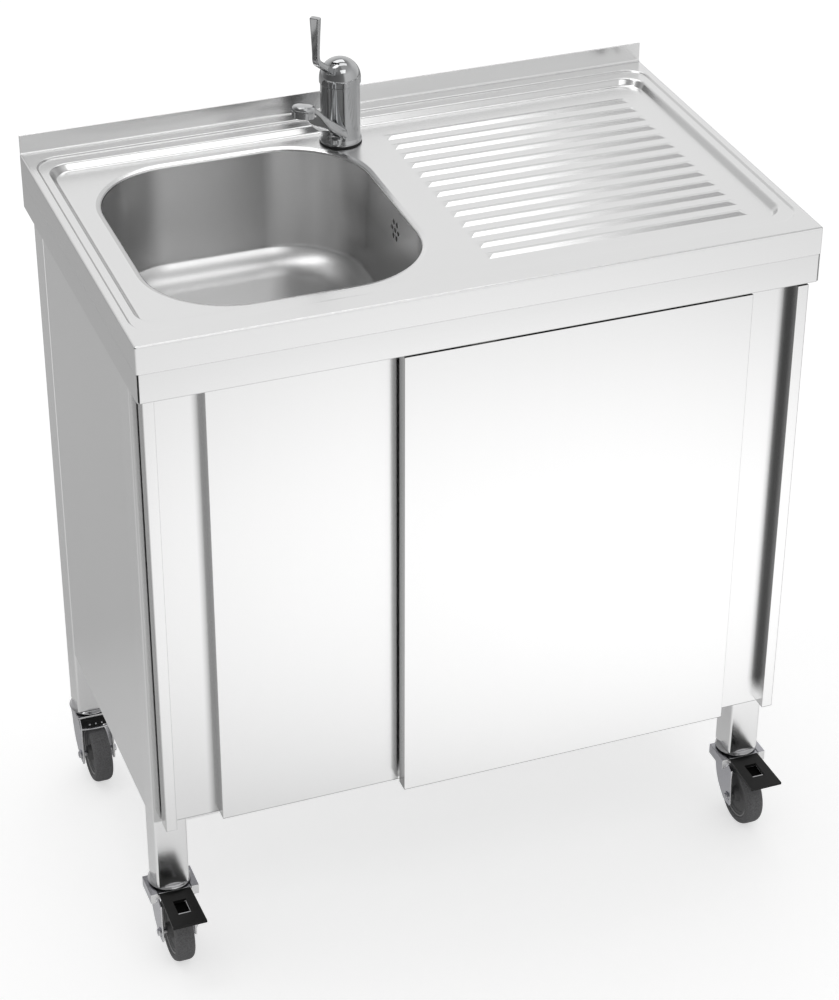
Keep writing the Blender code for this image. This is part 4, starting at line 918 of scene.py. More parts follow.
# %% [markdown]
# ## Tap body and spout
# The tap is cast brass under bright chrome. It stands on a thin rubber gasket and turns towards the
# bowl. The body is a lathe shape with a flared foot. The spout is one casting with it: a square arm,
# wide where it leaves the body, that rises steeply and ends in a domed head that leans a little, so
# that the water leaves it outwards. We loft it from squarish sections: each row gives the reach and
# height of its top and of its underside in the tap's upright plane, the width, and how far the
# section leans to one side. A smooth curve runs through all rows.

# %% Tap body
LIFT = JOINT["tap_lift"]
TAP_X, TAP_Y, _ = JOINT["tap_turn"]["pos_m"]
TAP_SIDE = Vector(LIFT["axis"])
UP = Vector((0.0, 0.0, 1.0))
TAP_OUT = -UP.cross(TAP_SIDE)
if TAP_OUT.y > 0:
    TAP_OUT = -TAP_OUT
TAP_FOOT = Vector((TAP_X, TAP_Y, DECK))
TAP_STAND = Matrix.Translation(TAP_FOOT)
BODY_R, BASE_R, CAP_R = 0.0237, 0.0256, 0.0250
BODY_TOP, BODY_BORE, BORE_LOW = 0.0762, 0.0195, 0.0462
SHANK_R, SHANK_LOW, FOOT_LOW = 0.0165, -0.040, 0.0021
HEAD_REACH, HEAD_H, HEAD_LEAN = 0.0989, 0.0705, math.radians(12)
HEAD_R, HEAD_LOW, HEAD_TOP = 0.0138, 0.0080, 0.0147
SPOUT_ROWS = (
    (0.0120, 0.0228, 0.0195, 0.0125, 0.0290, 0.0025), (0.0260, 0.0326, 0.0335, 0.0225, 0.0280, 0.0022),
    (0.0400, 0.0427, 0.0475, 0.0318, 0.0270, 0.0015), (0.0544, 0.0530, 0.0600, 0.0425, 0.0260, 0.0008),
    (0.0640, 0.0605, 0.0685, 0.0520, 0.0255, 0.0), (0.0750, 0.0696, 0.0785, 0.0628, 0.0250, 0.0),
    (0.0860, 0.0786, 0.0890, 0.0715, 0.0250, 0.0), (0.0940, 0.0824, 0.0960, 0.0772, 0.0240, 0.0))


def tap_point(reach, height, across=0.0):
    """A point in the tap's upright plane: reach out from its axis, height over the deck."""
    return TAP_FOOT + TAP_OUT * reach + TAP_SIDE * across + UP * height


def bar_ring(reach, height, tilt, width, thick, power):
    """A rounded section across a bar that leaves the tap at a tilt over the level."""
    normal = UP * math.cos(tilt) - TAP_OUT * math.sin(tilt)
    return squarish(tap_point(reach, height), TAP_SIDE * (width / 2), normal * (thick / 2), power, 32)


def flowing(rows, steps):
    """Rows of numbers, with a smooth curve run through all of them."""
    result = []
    for k in range(len(rows) - 1):
        four = rows[max(k - 1, 0)], rows[k], rows[k + 1], rows[min(k + 2, len(rows) - 1)]
        for j in range(steps):
            t = j / steps
            row = []
            for p, q, r, s in zip(*four):
                bend = 2 * p - 5 * q + 4 * r - s + t * (3 * (q - r) + s - p)
                row.append(q + 0.5 * t * (r - p + t * bend))
            result.append(row)
    return result + [list(rows[-1])]


def squarish(centre, half_across, half_up, power, count=48):
    """A ring between an ellipse and a rectangle, spanned by two half axes."""
    ring = []
    for k in range(count):
        angle = 2 * math.pi * k / count
        c, s = math.cos(angle), math.sin(angle)
        ring.append(centre + half_across * math.copysign(abs(c) ** (2 / power), c)
                    + half_up * math.copysign(abs(s) ** (2 / power), s))
    return ring


def pointing(direction, at):
    """A matrix that stands a lathe shape at a point along a direction."""
    return Matrix.Translation(at) @ UP.rotation_difference(direction).to_matrix().to_4x4()


def head_stand():
    """Where the spout's head stands: its outlet's middle, leaning back towards the body."""
    return pointing(UP * math.cos(HEAD_LEAN) - TAP_OUT * math.sin(HEAD_LEAN), tap_point(HEAD_REACH, HEAD_H))


def tap_body():
    """Body, shank, spout and head."""
    bm = bmesh.new()
    outline = fillet([(AXIS, SHANK_LOW), (SHANK_R, SHANK_LOW), (SHANK_R, FOOT_LOW), (BASE_R, FOOT_LOW),
                      (BASE_R, 0.0044), (BODY_R + 0.0004, 0.0085), (BODY_R, 0.0125), (BODY_R, BODY_TOP),
                      (BODY_BORE, BODY_TOP), (BODY_BORE, BORE_LOW), (AXIS, BORE_LOW)], 0.0009)
    lathe(bm, outline, 96, TAP_STAND)
    near = UP.cross(TAP_OUT)
    rings = []
    for top_r, top_h, low_r, low_h, width, lean in flowing(SPOUT_ROWS, 5):
        top, low = tap_point(top_r, top_h), tap_point(low_r, low_h)
        rings.append(squarish((top + low) / 2 + near * lean, near * width / 2, (top - low) / 2, 5.0))
    capped(bm, rings)
    round_r, crown = 0.0040, 0.0006
    head = [(AXIS, HEAD_LOW), (HEAD_R - 0.0004, HEAD_LOW), (HEAD_R, HEAD_LOW + 0.0004)]
    for k in range(9):
        angle = k / 8 * math.pi / 2
        head.append((HEAD_R - round_r * (1 - math.cos(angle)),
                     HEAD_TOP - crown - round_r * (1 - math.sin(angle))))
    head += [(0.0050, HEAD_TOP - crown / 4), (AXIS, HEAD_TOP)]
    lathe(bm, head, 64, head_stand())
    return bm


stand_in("tap_casting", tap_body(), "tap_body", math.radians(50))
print("tap stands at", round(TAP_X, 4), round(TAP_Y, 4))

# %% [markdown]
# ## Cap, lever and shield
# A domed cap turns on the body for warm and cold. The lever lifts through a slot in the dome. On a
# real tap a curved shield moves with the lever inside the dome, so the slot never gapes. We cut the
# slot with a Boolean and give the lever a strip of sphere that runs just under the dome.

# %% Cap and lever
PIVOT = Vector(LIFT["pos_m"])
PIVOT_H = PIVOT.z - DECK
BEND_REACH, BEND_H, TIP_H, TIP_EDGE = 0.0625, PIVOT_H + 0.0433, 0.1798, 0.0006
SHIELD_HALF = 0.0066
ARM_ROWS = ((0.0, 0.0086, 0.0068), (0.0254, 0.0086, 0.0068), (0.0256, 0.0108, 0.0088),
            (0.0262, 0.0115, 0.0095), (0.0302, 0.0115, 0.0095), (0.0310, 0.0108, 0.0088),
            (0.0314, 0.0088, 0.0074), (0.050, 0.0085, 0.0070))
ARM_TILT = math.atan2(BEND_H - PIVOT_H, BEND_REACH)
LIFT_ANGLE = math.radians(LIFT["range_deg"][1])
SLOT_HALF_W, SLOT_HALF_T = 0.0051, 0.0041
SHELL = 0.0006


def subtract(mesh, bm):
    """Cut a bmesh out of a mesh."""
    pair = []
    for name, data in (("whole", mesh), ("cutter", tidy_mesh(bm, "cutter"))):
        thing = bpy.data.objects.new(name, data)
        bpy.context.scene.collection.objects.link(thing)
        pair.append(thing)
    step = pair[0].modifiers.new("cut", "BOOLEAN")
    step.object = pair[1]
    step.solver = "EXACT"
    shaped = pair[0].evaluated_get(bpy.context.evaluated_depsgraph_get())
    result = bpy.data.meshes.new_from_object(shaped)
    for thing in pair:
        bpy.data.objects.remove(thing)
    return result


def tap_cap():
    """Thin dome with a slot for the lever."""
    inner = CAP_R - SHELL
    outline = [(inner, 0.0765), (CAP_R - 0.0004, 0.0765), (CAP_R, 0.0769)]
    inside = [(inner, 0.0765)]
    for k in range(25):
        angle = k / 24 * math.pi / 2
        outline.append((max(CAP_R * math.cos(angle), 0.00002), PIVOT_H + CAP_R * math.sin(angle)))
        inside.append((max(inner * math.cos(angle), 0.00002), PIVOT_H + inner * math.sin(angle)))
    bm = lathe(bmesh.new(), outline + inside[::-1], 96, TAP_STAND)
    cutter = bmesh.new()
    plan = []
    for angle, side, spans in ((ARM_TILT, -SLOT_HALF_T, (0.012, 0.05)),
                               (ARM_TILT + LIFT_ANGLE, SLOT_HALF_T, (0.05, 0.012))):
        for span in spans:
            plan.append((span * math.cos(angle) - side * math.sin(angle),
                         PIVOT_H + span * math.sin(angle) + side * math.cos(angle)))
    capped(cutter, [[tap_point(r, h, a) for r, h in plan] for a in (-SLOT_HALF_W, SLOT_HALF_W)])
    return subtract(tidy_mesh(bm, "tap_dome"), cutter)


def shield_row(radius, angle):
    """Points across the strip of sphere under the dome, at an angle over the level."""
    row = []
    for j in range(9):
        across = between(-SHIELD_HALF, SHIELD_HALF, j / 8)
        flat = math.sqrt(radius ** 2 - across ** 2)
        row.append(tap_point(flat * math.cos(angle), PIVOT_H + flat * math.sin(angle), across))
    return row


def tap_lever():
    """Ball, rising arm, bend and flared handle with a slanted tip, plus the shield."""
    bm = bmesh.new()
    rings = []
    for span, width, thick in ARM_ROWS:
        reach, height = span * math.cos(ARM_TILT), PIVOT_H + span * math.sin(ARM_TILT)
        rings.append(bar_ring(reach, height, ARM_TILT, width, thick, 7.0))
    bend = 0.0065
    upright = math.pi / 2
    start = (BEND_REACH - bend * math.cos(ARM_TILT), BEND_H - bend * math.sin(ARM_TILT))
    for k in range(9):
        share = k / 8
        first, second, third = (1 - share) ** 2, 2 * share * (1 - share), share ** 2
        reach = first * start[0] + (second + third) * BEND_REACH
        height = first * start[1] + second * BEND_H + third * (BEND_H + bend)
        rings.append(bar_ring(reach, height, between(ARM_TILT, upright, share),
                              between(0.0084, 0.0078, share), between(0.0070, 0.0066, share), 6.0))
    rows = [(k / 12, 0.0, 0.0) for k in range(1, 13)] + [(1.0, 0.0006, 0.0003), (1.0, 0.0010, 0.0008)]
    for share, shrink, lift in rows:
        height = between(BEND_H + bend, TIP_H - TIP_EDGE, share) + lift
        width, thick = between(0.0078, 0.0124, share ** 1.3), between(0.0066, 0.0080, share)
        rings.append(bar_ring(BEND_REACH, height, upright, width - shrink, thick - shrink, 5.0))
    capped(bm, rings)
    bmesh.ops.create_uvsphere(bm, u_segments=32, v_segments=16, radius=0.008,
                              matrix=Matrix.Translation(PIVOT))
    under = CAP_R - SHELL
    loops = []
    for k in range(25):
        angle = ARM_TILT + math.radians(between(-24, 26, k / 24))
        loops.append(shield_row(under - 0.0008, angle) + shield_row(under - 0.0003, angle)[::-1])
    capped(bm, loops)
    return bm


publish("tap_dome", tap_cap(), "chrome", "tap_cap", ["tap_cap"])
stand_in("tap_handle", tap_lever(), "tap_lever", math.radians(32))
print("lever rises at", round(math.degrees(ARM_TILT), 1), "degrees")

# %% [markdown]
# ## Small tap fittings
# A rubber gasket seals the tap to the deck, a brass nut holds it from below, an aerator ring closes
# the head and an upright plug sits in the casting under the spout. Each is a short lathe outline;
# the nut is a ring with six flats.


# %% Tap fittings
def ring_piece(outline, segments, matrix, radius=0.0004):
    """A closed lathe ring with rounded corners."""
    start = (Vector(outline[0]) + Vector(outline[1])) / 2
    rounded = fillet([start, *outline[1:], outline[0], start], radius)
    return lathe(bmesh.new(), rounded, segments, matrix)


def six_sided(inner, across, low, high, matrix):
    """A hexagonal nut or bolt head with a chamfered top and, if inner is set, a bore."""
    bm = bmesh.new()
    count = 48
    rings = []
    for shrink, height in ((1.0, low), (1.0, high - 0.0006), (0.94, high)):
        ring = []
        for k in range(count):
            angle = 2 * math.pi * k / count
            facet = (angle + math.pi / 6) % (math.pi / 3) - math.pi / 6
            radius = min(across / math.cos(facet), across * 1.12) * shrink
            ring.append(matrix @ Vector((radius * math.cos(angle), radius * math.sin(angle), height)))
        rings.append(ring)
    bore = max(inner, AXIS)
    turns = [2 * math.pi * k / count for k in range(count)]
    core = [matrix @ Vector((bore * math.cos(turn), bore * math.sin(turn), high)) for turn in turns]
    floor = [point + matrix.to_3x3() @ Vector((0.0, 0.0, low - high)) for point in core]
    skin(bm, rings + [core, floor, rings[0]])
    return bm


GASKET_LOW, GASKET_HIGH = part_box("tap_gasket")
NUT_LOW, NUT_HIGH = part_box("tap_lock_nut")
SHANK_HOLE, NUT_FLAT = 0.0168, 0.0195
ON_AXIS = Matrix.Translation((TAP_X, TAP_Y, 0.0))
seal = [(SHANK_HOLE, GASKET_LOW.z), (BASE_R, GASKET_LOW.z), (BASE_R, GASKET_HIGH.z),
        (SHANK_HOLE, GASKET_HIGH.z)]
stand_in("tap_seal", ring_piece(seal, 96, ON_AXIS), "tap_gasket")
stand_in("tap_back_nut", six_sided(SHANK_HOLE, NUT_FLAT, NUT_LOW.z, NUT_HIGH.z, ON_AXIS), "tap_lock_nut",
         math.radians(20))
barrel = fillet([(AXIS, 0.0030), (0.0074, 0.0030), (0.0079, 0.0050), (0.0079, 0.0120), (0.0060, 0.0138),
                 (AXIS, 0.0142)], 0.0010)
PLUG_TURN, PLUG_REACH = math.radians(213), 0.0195
PLUG_AT = TAP_FOOT + Vector((math.sin(PLUG_TURN), math.cos(PLUG_TURN), 0.0)) * PLUG_REACH
stand_in("tap_button", lathe(bmesh.new(), barrel, 48, Matrix.Translation(PLUG_AT)), "tap_plug")
nozzle = fillet([(AXIS, 0.0020), (0.0096, 0.0020), (0.0102, 0.0), (0.0134, 0.0), (0.0134, 0.0072),
                 (0.0126, 0.0072), (0.0126, 0.0079), (AXIS, 0.0079)], 0.0004)
stand_in("tap_nozzle", lathe(bmesh.new(), nozzle, 64, head_stand()), "tap_aerator")
print("tap fittings: 4")

# %% [markdown]
# ## Waste and trap
# In the middle of the bowl's floor sits a steel strainer with a rolled flange and a perforated well.
# Below it hang a plastic body, a hand nut and a bottle trap; their measured shapes were softened with
# the folded sheet above. They are seen only from underneath or through an open door, but they are
# what makes it a working sink.


# %% Waste
def strainer_tree():
    """Copies of a round drill in a ring about Z, cut out of the incoming plate."""
    graph, given = new_tree("strainer", {"Count": WHOLE, "Ring Radius": NUMBER, "Hole Radius": NUMBER,
                                         "Centre": ARROW})
    ring = graph.add("GeometryNodeMeshCircle", {"Vertices": given["Count"], "Radius": given["Ring Radius"]})
    drill = graph.add("GeometryNodeMeshCylinder", {"Vertices": 24, "Radius": given["Hole Radius"],
                                                   "Depth": 0.008})
    drills = graph.add("GeometryNodeInstanceOnPoints", {"Points": ring, "Instance": drill})
    moved = graph.add("GeometryNodeTransform", {"Geometry": drills, "Translation": given["Centre"]})
    real = graph.add("GeometryNodeRealizeInstances", {"Geometry": moved})
    holed = graph.add("GeometryNodeMeshBoolean", {"Mesh 1": given["Geometry"], "Mesh 2": real},
                      operation="DIFFERENCE", solver="EXACT")
    end_tree(graph, holed, "worktop_steel")
    return graph


GRID = FLOOR - 0.006
plate = fillet([(AXIS, GRID), (0.0217, GRID), (0.0217, FLOOR + 0.0004), (0.0360, FLOOR + 0.0024),
                (0.0400, FLOOR + 0.0003), (0.0257, FLOOR + 0.0003), (0.0257, FLOOR - 0.0175),
                (0.0217, FLOOR - 0.0175), (0.0217, GRID - 0.002), (AXIS, GRID - 0.002)], 0.0010)
cup = tidy_mesh(lathe(bmesh.new(), plate, 96, Matrix.Translation((MIDDLE.x, MIDDLE.y, 0.0))), "strainer")
strainer = grown("strainer", strainer_tree(), {"Count": 8, "Ring Radius": 0.0125, "Hole Radius": 0.0032,
                                               "Centre": (MIDDLE.x, MIDDLE.y, GRID - 0.001)}, cup)
publish("strainer", strainer, "worktop_steel", "frame", ["waste_strainer"])
print("strainer with", len(strainer.polygons), "faces")

# %% [markdown]
# ## Casters
# Each caster is built around its swivel axis. A chromed race sits under the leg, the fork is folded
# from zinc-plated plate, and the wheel is a grey tyre on a dished plastic centre. The lathe turns
# tyre, centre and race, and a bead in the joint between tyre and centre, whose pale colour is a painted highlight.

# %% Wheels
WHEEL_R, TYRE_HALF, TREAD_R, TREAD_W = 0.040, 0.012, 0.0055, 0.0075
CORNERS = ["front_left", "front_right", "rear_left", "rear_right"]


def joint_at(name):
    """Where a joint's axis stands."""
    return Vector(JOINT[name]["pos_m"])


def tyre_outline():
    """Half-round tread with shoulders and a rim line, from bore to bore."""
    half = [(0.0285, 0.0085), (0.0300, 0.0090), (0.0305, 0.0104), (0.0318, 0.0118), (0.0335, TYRE_HALF)]
    for k in range(1, 9):
        angle = k / 8 * math.pi / 2
        half.append((WHEEL_R - TREAD_R * (1 - math.sin(angle)), TYRE_HALF - TREAD_W * (1 - math.cos(angle))))
    return half + [(radius, -across) for radius, across in half[::-1]]


def hub_outline():
    """Dished centre with a boss, from bore to bore."""
    half = fillet([(0.0043, 0.0137), (0.0090, 0.0137), (0.0105, 0.0066), (0.0235, 0.0066),
                   (0.0245, 0.0082), (0.0282, 0.0085)], 0.0012)
    return [tuple(point) for point in half] + [(radius, -across) for radius, across in half[::-1]]


BEAD_AT, BEAD_R = (0.0291, 0.0092), 0.0009


def bead_outline(way):
    """Round bead in the joint between centre and tyre, on one side of the wheel; its pale colour is a painted
    highlight.
    """
    radius, across = BEAD_AT[0], way * BEAD_AT[1]
    turns = [way * k / 10 * 2 * math.pi for k in range(11)]
    return [(radius + BEAD_R * math.cos(turn), across + BEAD_R * math.sin(turn)) for turn in turns]


for corner in CORNERS:
    matrix = pointing(Vector((1.0, 0.0, 0.0)), joint_at("roll_" + corner))
    for part, outline in (("tyre", tyre_outline()), ("hub", hub_outline())):
        bm = lathe(bmesh.new(), outline + [outline[0]], 72, matrix)
        stand_in("wheel_" + corner + "_" + part, bm, "caster_" + corner + "_" + part, math.radians(50))
    bm = bmesh.new()
    for way in (-1, 1):
        lathe(bm, bead_outline(way), 72, matrix)
    publish("wheel_" + corner + "_bead", tidy_mesh(bm, "bead"), "grey_tyre",
            BODY_OF["caster_" + corner + "_tyre"], finish=FINISH["bead_painted_highlight"])
print("wheels:", len(CORNERS), "of radius", WHEEL_R)

# %% [markdown]
# ## Forks, races and bolts
# The fork is folded from thick plate: two broad cheeks that narrow towards the axle, a roof, and on
# the braked casters a block on each side. In front, a bowed lip closes a dark sloping window. A bright
# race sits between leg and fork with a thin shadow under it. Bolt heads and rivets come from one tree
# that repeats an incoming piece along a line and turns each copy.


# %% Forks
CHEEK_IN, CHEEK_OUT = 0.0192, 0.0216
CHEEK_SHAPE = ((-0.0365, 0.0330), (-0.0345, 0.0290), (-0.0220, 0.0290), (-0.0165, 0.0305),
               (-0.0080, 0.0375), (-0.0005, 0.0450), (0.0055, 0.0550), (0.0085, 0.0630), (0.0120, 0.0780),
               (0.0165, 0.0850), (0.0165, 0.0955))
CHEEK_BROW = {True: ((-0.0235, 0.0955), (-0.0240, 0.0880), (-0.0335, 0.0835)),
              False: ((-0.0250, 0.0955), (-0.0335, 0.0840))}
ROOF_LOW, ROOF_TOP, ROOF_FRONT, ROOF_BACK = 0.0936, 0.0966, -0.0240, 0.0140
EAR_X, EAR_LOW = 0.0300, 0.0830
FORK_LIP, FORK_LIP_BOW = Vector((0.0, -0.0322, 0.0836)), Vector((0.0, 0.0020, 0.0008))
LIP_THICK, LIP_TALL = Vector((0.0, 0.0014, 0.0)), Vector((0.0, 0.0, 0.0012))
SHROUD_SHAPE = ((-0.0225, 0.0930), (-0.0260, 0.0900), (-0.0305, 0.0838), (-0.0292, 0.0828),
                (-0.0245, 0.0888), (-0.0212, 0.0918))
SHROUD_SLOPE = Vector((0.0, -0.81, 0.59))
RIVET_START, RIVET_STEP = Vector((-0.0080, -0.0288, 0.0862)), (0.0080, 0.0, 0.0)


def block(bm, low, high):
    """A box between two corners."""
    (x0, y0, z0), (x1, y1, z1) = low, high
    capped(bm, [[(x0, y0, z), (x1, y0, z), (x1, y1, z), (x0, y1, z)] for z in (z0, z1)])


def fork_plate(corner, braked):
    """Cheeks, roof and side blocks with broken edges, and the bowed lip, about the swivel axis."""
    place = joint_at("swivel_" + corner)
    place.z = 0.0
    bm = bmesh.new()
    for side in (-1, 1):
        plan = CHEEK_BROW[braked] + CHEEK_SHAPE
        capped(bm, [[(side * x, y, z) for y, z in plan] for x in (CHEEK_IN, CHEEK_OUT)])
        if braked:
            block(bm, (side * CHEEK_IN, ROOF_FRONT, EAR_LOW), (side * EAR_X, ROOF_BACK, ROOF_TOP))
    block(bm, (-CHEEK_OUT, ROOF_FRONT, ROOF_LOW), (CHEEK_OUT, ROOF_BACK, ROOF_TOP))
    bmesh.ops.recalc_face_normals(bm, faces=bm.faces)
    rounded_over(bm, sharp_edges(bm), 0.0005)
    if not braked:
        rings = []
        for k in range(17):
            x = between(-CHEEK_IN - 0.0004, CHEEK_IN + 0.0004, k / 16)
            bow = 1 - (x / CHEEK_IN) ** 2
            centre = Vector((x, 0.0, 0.0)) + FORK_LIP - FORK_LIP_BOW * bow
            rings.append(squarish(centre, LIP_THICK, LIP_TALL, 2.6, 16))
        capped(bm, rings)
    bmesh.ops.translate(bm, verts=bm.verts, vec=place)
    return bm


def shroud(corner):
    """The dark sloping plate behind the lip."""
    place = joint_at("swivel_" + corner)
    bm = bmesh.new()
    rings = []
    for y, z in SHROUD_SHAPE:
        rings.append([(place.x + x, place.y + y, z) for x in (-CHEEK_IN, -0.006, 0.006, CHEEK_IN)])
    skin_rows(bm, rings)
    return bm


def skin_rows(bm, rows):
    """Faces between open rows; the last row joins the first, and both ends are closed."""
    made = [[bm.verts.new(point) for point in row] for row in rows]
    for a, b in zip(made, made[1:] + made[:1]):
        for k in range(len(a) - 1):
            bm.faces.new((a[k], a[k + 1], b[k + 1], b[k]))
    bm.faces.new([row[0] for row in made])
    bm.faces.new([row[-1] for row in made])
    bmesh.ops.recalc_face_normals(bm, faces=bm.faces)


def row_tree():
    """Copies of the incoming piece along a line, each turned further about Z."""
    graph, given = new_tree("row", {"Count": WHOLE, "Start": ARROW, "Step": ARROW, "Turn": NUMBER})
    line = graph.add("GeometryNodeMeshLine", {"Count": given["Count"], "Start Location": given["Start"],
                                              "Offset": given["Step"]})
    turn = graph.add("ShaderNodeCombineXYZ", {"Z": graph.add("GeometryNodeInputIndex") * given["Turn"]})
    copies = graph.add("GeometryNodeInstanceOnPoints", {"Points": line, "Instance": given["Geometry"],
                                                        "Rotation": turn})
    end_tree(graph, copies, "zinc")
    return graph


def race(node):
    """Square plug in the leg, with the round race and king pin under it."""
    low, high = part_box(node)
    centre = (low + high) / 2
    at = Matrix.Translation((centre.x, centre.y, 0.0))
    top = high.z - 0.030
    bm = bmesh.new()
    rings = []
    for inset, height in ((0.0020, high.z), (0.0, high.z - 0.001), (0.0, top - 0.0021)):
        half = 0.0177 - inset
        rings.append(rounded_rectangle(centre.x - half, centre.x + half, centre.y - half, centre.y + half,
                                       0.001, height, 3))
    capped(bm, rings)
    foot = ROOF_TOP + 0.0003
    disc = fillet([(AXIS, foot), (0.0195, foot), (0.0195, top - 0.0032), (0.0255, top - 0.0032),
                   (0.0262, top - 0.0020), (0.0235, top - 0.0003), (AXIS, top - 0.0003)], 0.0007)
    lathe(bm, disc, 64, at)
    king = fillet([(AXIS, low.z), (0.0070, low.z), (0.0080, low.z + 0.0010), (0.0080, low.z + 0.0035),
                   (0.0050, low.z + 0.0035), (0.0050, top - 0.004)], 0.0006)
    lathe(bm, king, 32, at)
    return bm


ROW = row_tree()
LEFTWARDS = pointing(Vector((-1.0, 0.0, 0.0)), Vector())


def bolt_head():
    """Hexagon head on a washer, with its share of the shank, looking to the left."""
    bm = six_sided(0.0, 0.0040, 0.0008, 0.0034, LEFTWARDS)
    washer = [(AXIS, 0.0), (0.0062, 0.0), (0.0062, 0.0010), (AXIS, 0.0010)]
    shank = [(AXIS, -0.0190), (0.0039, -0.0190), (0.0039, 0.0002), (AXIS, 0.0002)]
    for outline, segments in ((washer, 40), (shank, 32)):
        lathe(bm, fillet(outline, 0.0003), segments, LEFTWARDS)
    return tidy_mesh(bm, "bolt_head")


def rivet():
    """A small domed rivet, square to the sloping plate."""
    outline = fillet([(AXIS, -0.0006), (0.0013, -0.0006), (0.0013, 0.0006), (AXIS, 0.0011)], 0.0005)
    return tidy_mesh(lathe(bmesh.new(), outline, 20, pointing(SHROUD_SLOPE, Vector())), "rivet")


for corner in CORNERS:
    body = "caster_" + corner + "_"
    braked = corner.startswith("front")
    swivel, axle = joint_at("swivel_" + corner), joint_at("roll_" + corner)
    stand_in(body + "race", race(body + "stem"), body + "stem", finish=FINISH["bright_race"])
    stand_in(body + "plate", fork_plate(corner, braked), body + "fork")
    reach = Vector((CHEEK_OUT + 0.0001, 0.0, 0.0))
    pair = {"Count": 2, "Start": axle - reach, "Step": reach * 2, "Turn": math.pi}
    bolt = grown(body + "bolt", ROW, pair, bolt_head())
    publish(body + "bolt", bolt, "zinc", BODY_OF[body + "axle"], [body + "axle"], math.radians(20))
    if not braked:
        publish(body + "shroud", tidy_mesh(shroud(corner), "shroud"), "black_plastic",
                BODY_OF[body + "fork"])
        start = Vector((swivel.x, swivel.y, 0.0)) + RIVET_START
        three = {"Count": 3, "Start": start, "Step": RIVET_STEP, "Turn": 0.0}
        rivets = grown(body + "rivets", ROW, three, rivet())
        publish(body + "rivets", rivets, "zinc", BODY_OF[body + "fork"])
print("forks:", len(CORNERS))

# %% [markdown]
# ## Brake pedals
# The two front casters carry a black moulded pedal with a window. Moulded edges are a little
# rounder than sheet edges. A bright clip lines two sides of the window, a near-black plate closes it
# from below as painted shade, and the ends of the hinge pin and of its spring show on the fork's cheeks.


# %% Pedals
WINDOW_HALF, CLIP_SIDE, CLIP_FRONT = 0.0080, 0.0010, 0.0030
WINDOW_SHIFTS = ((-0.0436, 0.0016), (-0.0596, -0.0074))
WINDOW_BACK, WINDOW_FRONT = [at + shift for at, shift in WINDOW_SHIFTS]
WINDOW_EDGE = 0.0012
CLIP_RINGS = ((0.0, 0.0898), (0.0, 0.0938), (0.0002, 0.0940))
WELL_RINGS = ((0.0003, 0.0887), (0.0, 0.0890), (0.0, 0.0896), (0.0003, 0.0899))
WELL_HALF, WELL_LAP, WELL_R = 0.0100, 0.002, 0.0015
PINS = ((0.0026, -0.0216, 0.0862), (0.0020, -0.0218, 0.0925))


def windowed_pedal(node, place):
    """The node's pedal with rounder edges and its window drawn out to the length in use."""
    bm = softened(node, 0.0005)
    for vert in bm.verts:
        if abs(vert.co.x - place.x) < WINDOW_HALF + WINDOW_EDGE:
            for at, shift in WINDOW_SHIFTS:
                vert.co.y += shift if abs(vert.co.y - place.y - at) < WINDOW_EDGE else 0.0
    return bm


def pedal_clip(place):
    """An angle of bright strip along the front and right sides of the window."""
    front, right = WINDOW_FRONT, WINDOW_HALF
    plan = [(-WINDOW_HALF, front), (right, front), (right, WINDOW_BACK), (right - CLIP_SIDE, WINDOW_BACK),
            (right - CLIP_SIDE, front + CLIP_FRONT), (-WINDOW_HALF, front + CLIP_FRONT)]
    bm = bmesh.new()
    rings = []
    for inset, height in CLIP_RINGS:
        rings.append([(place.x + x * (1 - inset * 20), place.y + y + inset, height) for x, y in plan])
    capped(bm, rings)
    return bm


def pedal_floor(place):
    """A thin plate with round corners under the window; its near-black finish is painted shade."""
    bm = bmesh.new()
    front, back = place.y + WINDOW_FRONT - WELL_LAP, place.y + WINDOW_BACK + WELL_LAP
    rings = []
    for inset, height in WELL_RINGS:
        half = WELL_HALF - inset
        rings.append(rounded_rectangle(place.x - half, place.x + half, front + inset, back - inset, WELL_R,
                                       height, 4))
    capped(bm, rings)
    return bm


def pin_ends(place):
    """The ends of the hinge pin and of its spring, on both cheeks."""
    bm = bmesh.new()
    for radius, y, z in PINS:
        pin = fillet([(AXIS, 0.0), (radius, 0.0), (radius, 0.0022), (radius * 0.6, 0.0034), (AXIS, 0.0036)],
                     0.0008)
        for way in (-1, 1):
            at = Vector((place.x + way * CHEEK_OUT, place.y + y, z))
            lathe(bm, pin, 24, pointing(Vector((way, 0.0, 0.0)), at))
    return bm


for side in ("left", "right"):
    pedal, caster = "brake_pedal_" + side, "caster_front_" + side
    swivel = joint_at("swivel_front_" + side)
    stand_in("pedal_" + side, windowed_pedal(pedal, swivel), pedal)
    # The floor plate's near-black finish paints the shade under the window
    for name, bm, slot, body, finish in (
            ("pedal_clip_" + side, pedal_clip(swivel), "zinc", pedal, "bright_race"),
            ("pedal_floor_" + side, pedal_floor(swivel), "black_plastic", pedal, "well_painted_shade"),
            (caster + "_pins", pin_ends(swivel), "zinc", caster + "_fork", "bright_race")):
        publish(name, tidy_mesh(bm, name), slot, BODY_OF[body], finish=FINISH[finish])
print("pedals: 2")

# %% [markdown]
# ## Studio
# The unit stands on a white floor with only a soft shadow. Polished steel shows whatever is around
# it, so the room matters as much as the lamps: bright walls low down, a duller ceiling, and large
# soft lamps: one behind, one in front and two straight above, which draw the bright bands in the
# bowl and on the ribs.

# %% Floor and room
FLOOR_SIZE = 16.0
floor_mesh = bpy.data.meshes.new("studio_floor")
bm = bmesh.new()
bmesh.ops.create_grid(bm, x_segments=1, y_segments=1, size=FLOOR_SIZE / 2)
bm.to_mesh(floor_mesh)
bm.free()
floor = bpy.data.objects.new("studio_floor", floor_mesh)
bpy.context.scene.collection.objects.link(floor)


